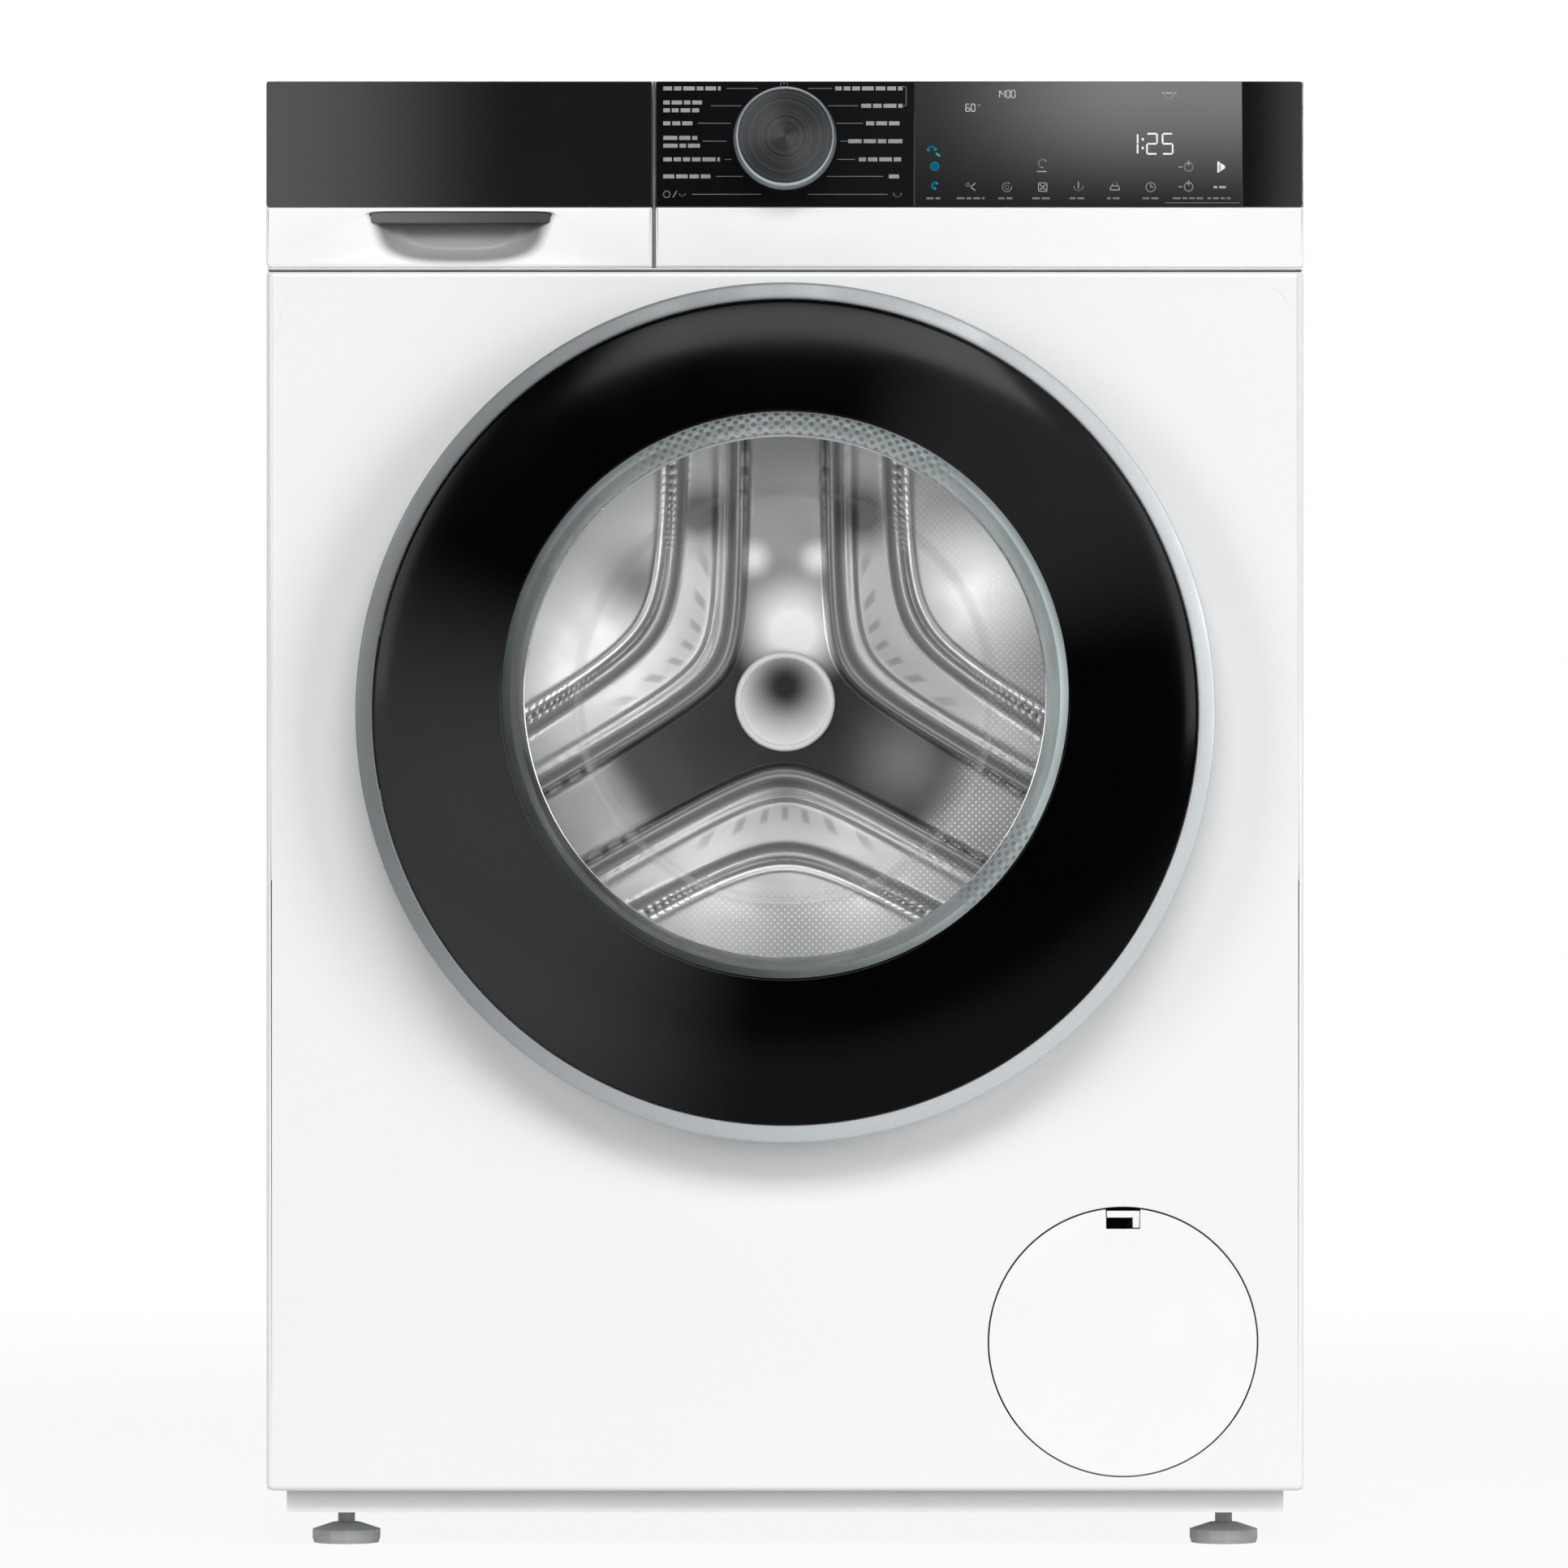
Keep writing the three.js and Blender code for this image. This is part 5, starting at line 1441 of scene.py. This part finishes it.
def hub_cap():
    shell = Shell()
    shell.lathe([(0, 142.6), (8, 143.0), (16, 144.4), (22, 146.3), (25.6, 148.0), (26.6, 148.0),
                 (27.4, 146.6), (28.6, 145.9), (29.8, 146.3), (30.7, 147.6), (30.9, 150), (30.9, 162.8),
                 (0, 162.8)], (0, AXIS_Z), 128, closed=False)
    finish_piece("hub_dome", shell, hub_steel(), "drum", ["hub_cap"], sharp=50)


hub_cap()


def lifter(index, degrees):
    """A moulded ridge with soft ends, just inside the drum's wall: its edges come down to the radius
    foot, and its underside lies at the radius under."""
    half, height, count, length = 34.0, 48.0, 28, 30
    front, rear = -141.0, 149.0
    foot, under = 242.6, 242.9
    turn = math.radians(degrees)

    def place(reach, across, y):
        return (reach * math.cos(turn) - across * math.sin(turn), y,
                AXIS_Z + reach * math.sin(turn) + across * math.cos(turn))

    rings = []
    for k in range(length + 1):
        t = k / length
        full = math.sin(math.pi * min(1.0, min(t, 1 - t) * 5.0) / 2) ** 0.6 if 0 < k < length else 0.02
        y, width = front + (rear - front) * t, half * (0.9 + 0.1 * full)
        ring = []
        for s in (-1 + 2 * j / count for j in range(count + 1)):
            floor = math.sqrt(max(0.0, foot ** 2 - (s * width) ** 2))
            rise = (math.cos(s * math.pi / 2) ** 0.8) * height * full
            ring.append(place(floor - rise, s * width, y))
        for s in (-1 + 2 * j / count for j in range(count, -1, -4)):
            ring.append(place(math.sqrt(under ** 2 - (s * width) ** 2), s * width, y))
        rings.append(ring)
    shell = Shell()
    shell.rings(rings, closed=False, caps=True)
    finish_piece(f"lifter_ridge_{index}", shell, GREY_PLASTIC, "drum",
                 [f"lifter_{index}"], sharp=60, weighted=False)


for number, degrees in ((1, 90), (2, 210), (3, 330)):
    lifter(number, degrees)


# ---- Service flap ----


def service_flap():
    """The round flap with its latch, and the two arms that reach down to its hinge pin."""
    x, z = FLAP.x, FLAP.z
    notch_low, notch_high = z + 65.2, z + 76.9
    shell = Shell()
    shell.slab([circle(x, z, FLAP_RADIUS + 0.5, 256)], FRONT, FRONT + 3, 0.35)
    notch = cutter((x - 10, FRONT - 2, notch_low), (x + 10, FRONT + 5, notch_high + 4))
    disc = carve(shell.mesh("disc"), notch)
    finish_piece("flap_disc", disc, WHITE_PLASTIC, "service_flap", ["service_flap"])
    shell = Shell()
    shell.block((x - 13, FRONT + 3, z + 56), (x + 13, FRONT + 6, z + 58), 0.4)
    shell.block((x - 13, FRONT + 3, z + 57), (x - 9.6, FRONT + 6, z + 75.4), 0.4)
    shell.block((x + 9.6, FRONT + 3, z + 57), (x + 13, FRONT + 6, z + 75.4), 0.4)
    shell.block((x - 9.3, FRONT + 0.8, notch_low + 6.5), (x + 9.7, FRONT + 5, notch_high - 1.3), 0.4)
    shell.block((x + 5.6, FRONT + 1.0, notch_low + 0.6), (x + 9.7, FRONT + 5, notch_low + 7), 0.8, 3)
    hinge_y, hinge_z = -265.8, z - 82.5
    shell.tube([(x - 20.6, hinge_y, hinge_z), (x + 20.6, hinge_y, hinge_z)], 1.2, 16)
    neck = [(-0.5, -1.5), (7.8, -1.5), (7.8, 9), (-0.6, 9), (-0.6, 7.4), (6, 7.4), (6, 1.5), (-0.5, 1.5)]
    for arm in (x - 13, x + 13):
        shell.rings([[(arm + w, hinge_y + u, hinge_z + v) for u, v in neck] for w in (-2, 2)],
                    closed=False, caps=True)
    finish_piece("flap_latch", shell, WHITE_PLASTIC, "service_flap")


service_flap()


# ---- Springs and hoses between the casing and the hanging tub ----


def hanging(name, shell, material, node, top, foot):
    """A piece between the casing and the tub, fixed where it stands; its top and foot are only handed on.
    """
    ends = (casing, "tub", Vector(top) * MM, Vector(foot) * MM)
    finish_piece(name, shell, material, ends, [node], sharp=60, weighted=False)


def springs():
    """Each spring's coil, wound from its foot to its top."""
    wire, turns, steps = 1.5, 7.5, 24
    count = int(turns * steps)
    for side in ("left", "right"):
        low, high = span(f"spring_{side}")
        centre, coil = (low + high) / 2, (high.x - low.x) / 2 - wire
        route = []
        for k in range(count + 1):
            turn = TAU * k / steps
            route.append((centre.x + coil * math.cos(turn), centre.y + coil * math.sin(turn),
                          low.z + wire + (high.z - low.z - 2 * wire) * k / (turns * steps)))
        shell = Shell()
        shell.tube(route, wire, 10)
        hanging(f"coil_{side}", shell, SPRING, f"spring_{side}",
                (centre.x, centre.y, high.z), (centre.x, centre.y, low.z))


def hoses():
    """The ribbed hoses from the drawer's housing to the tub, and from the tub to the pump."""
    low, high = span("dispenser_hose")
    centre, count = (low + high) / 2, 48
    outer = [(20.2 - 1.7 * math.cos(TAU * k / 8), low.z + (high.z - low.z) * k / count)
             for k in range(count + 1)]
    shell = Shell()
    shell.lathe(outer + [(r - 3.2, z) for r, z in reversed(outer)], (centre.x, centre.y), 48, "Z")
    hanging("dispenser_bellows", shell, BLACK_RUBBER, "dispenser_hose",
            (centre.x, centre.y, high.z), (centre.x, centre.y, low.z))
    low, high = span("sump_hose")
    route = catmull([(30, -120, high.z), (30, -120, high.z - 14), (42, -132, 144), (76, -166, 124),
                     (112, -196, FLAP.z), (high.x - 14, -200, FLAP.z), (high.x, -200, FLAP.z)], 14)
    last = len(route) - 10
    ribs = [15.4 + (0.5 * math.cos(TAU * k / 4) if 10 < k < last else 0.4) for k in range(len(route))]
    shell = Shell()
    shell.tube(route, ribs, 28)
    hanging("sump_bellows", shell, BLACK_RUBBER, "sump_hose",
            (high.x - 6, -200, FLAP.z), (30, -120, high.z - 4))


springs()
hoses()


# ---- What stands for itself: CAD nodes that keep their shape ----

KEPT = (
    (WHITE_PLASTIC, "white_plastic", "base_tray inlet_valve"),
    (BOARD, "circuit_board", "control_board"),
    (GREY_PLASTIC, "grey_plastic", "dispenser_housing drain_hose pump_filter tub_front tub_rear "
     "foot_front_left foot_front_right foot_rear_left foot_rear_right"),
    (DARK_PLASTIC, "dark_plastic", "mains_gland door_lock door_inner_frame damper_body_left "
     "damper_body_right pump_housing"),
    (BLACK_RUBBER, "black_rubber", "fill_hose drive_belt"),
    (ALUMINIUM, "cast_aluminium", "door_hinge_bracket door_hinge_leaf motor_body drum_spider "
     "drum_pulley"),
    (STAINLESS, "stainless", "door_hook damper_rod_left damper_rod_right heater_element front_bearing "
     "rear_bearing motor_rotor"),
    (CONCRETE, "concrete", "upper_counterweight front_counterweight"),
)
for kept_material, kept_slot, kept_nodes in KEPT:
    for node_name in kept_nodes.split():
        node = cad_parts[node_name]
        node.data.materials.clear()
        node.data.materials.append(kept_material)


# ---- Room, lamps and camera ----


def shining(name, **plain):
    """The look of something that only shines."""
    look = Look(name, Emission_Strength=1.0, Specular_IOR_Level=0.0, Roughness=1.0, **plain)
    look.color((0, 0, 0, 1))
    return look.material


def studio():
    """A pale floor that fades out into an even white surround, so every side can be looked at."""
    count, radii = 96, [0.3 * k for k in range(1, 11)]
    points = [(0, 0, 0)] + [(r * math.cos(TAU * j / count), r * math.sin(TAU * j / count), 0)
                            for r in radii for j in range(count)]
    faces = [[0, 1 + j, 1 + (j + 1) % count] for j in range(count)]
    for ring in range(len(radii) - 1):
        low, high = 1 + ring * count, 1 + (ring + 1) * count
        faces += [[low + j, high + j, high + k, low + k]
                  for j, k in ((j, (j + 1) % count) for j in range(count))]
    look = Look("floor paint", Roughness=0.9, Emission_Strength=0.16)
    look.color(look.mottled((1.5, 3.0), grey(0.64), grey(0.66)))
    x, y, _ = look.axes()
    look.alpha(look.range(look.length(x, y), 1.0, 0.0, 0.9, 2.8))
    floor = in_scene("floor", from_lists("floor", points, faces))
    floor.data.materials.append(look.material)
    light = in_scene("floor_light", from_lists("floor_light", points, faces))
    light.location.z = 0.0003
    light.data.materials.append(shining("floor light", Alpha=0.88))
    ball = bmesh.new()
    bmesh.ops.create_uvsphere(ball, u_segments=48, v_segments=24, radius=22)
    mesh = bpy.data.meshes.new("surround")
    ball.to_mesh(mesh)
    ball.free()
    mesh.shade_smooth()
    mesh.materials.append(shining("surround light"))
    surround = in_scene("surround", mesh)
    for only_seen in (light, surround):
        only_seen.visible_diffuse = only_seen.visible_glossy = only_seen.visible_transmission = False
        only_seen.visible_shadow = only_seen.visible_volume_scatter = False


studio()


def lamp(name, place, target, width, height, power):
    """A soft rectangular lamp that shines from a place towards a target, both in metres."""
    data = bpy.data.lights.new(name, "AREA")
    data.shape, data.size, data.size_y, data.energy = "RECTANGLE", width, height, power
    obj = in_scene(name, data)
    obj.location = place
    obj.rotation_euler = (Vector(target) - Vector(place)).to_track_quat("-Z", "Y").to_euler()
    obj.visible_camera = False


lamp("left key", (-3.0, -3.0, 1.7), (0, -0.2, 0.55), 1.6, 2.2, 56)
lamp("right key", (3.2, -3.0, 1.5), (0, -0.2, 0.5), 1.8, 2.4, 79)
lamp("top key", (0.2, -3.6, 2.8), (0, -0.2, 0.7), 2.6, 1.2, 86)
lamp("right side", (3.0, 0.2, 1.0), (0, 0, 0.5), 1.6, 2.2, 3)
lamp("overhead", (0, 0.4, 3.4), (0, 0.2, 0), 2.4, 2.4, 9)
DRUM_LAMPS = ((32, 122, 0.055), (75, 118, 0.06), (118, 120, 0.065), (165, 122, 0.13), (215, 122, 0.1),
              (255, 120, 0.07), (292, 120, 0.07), (338, 122, 0.085))
for spot, (turn, radius, power) in enumerate(DRUM_LAMPS):
    turn = math.radians(turn)
    place = Vector((radius * math.cos(turn), -152, AXIS_Z + radius * math.sin(turn))) * MM
    lamp(f"drum light {spot}", place, place + Vector((0, 1, 0)), 0.05, 0.05, power)

world = bpy.data.worlds.new("studio")
bpy.context.scene.world = world
world.use_nodes = True
background = world.node_tree.nodes["Background"]
towards = world.node_tree.nodes.new("ShaderNodeTexCoord")
split = world.node_tree.nodes.new("ShaderNodeSeparateXYZ")
fade = world.node_tree.nodes.new("ShaderNodeMapRange")
world.node_tree.links.new(towards.outputs["Generated"], split.inputs[0])
world.node_tree.links.new(split.outputs["Y"], fade.inputs["Value"])
for socket, value in zip(("From Min", "From Max", "To Min", "To Max"), (0.0, 0.7, 0.035, 0.85)):
    fade.inputs[socket].default_value = value
world.node_tree.links.new(fade.outputs[0], background.inputs["Strength"])
background.inputs["Color"].default_value = (1.0, 1.0, 1.0, 1.0)

camera_data = bpy.data.cameras.new("camera")
camera_data.sensor_width = 36
camera_data.lens = 239.0
camera_data.clip_end = 50
camera = in_scene("camera", camera_data)
camera.location = (-0.0006, -6.269, 0.441)
camera.rotation_euler = (math.pi / 2, 0, 0)
bpy.context.scene.camera = camera
bpy.context.scene.view_settings.view_transform = "Standard"
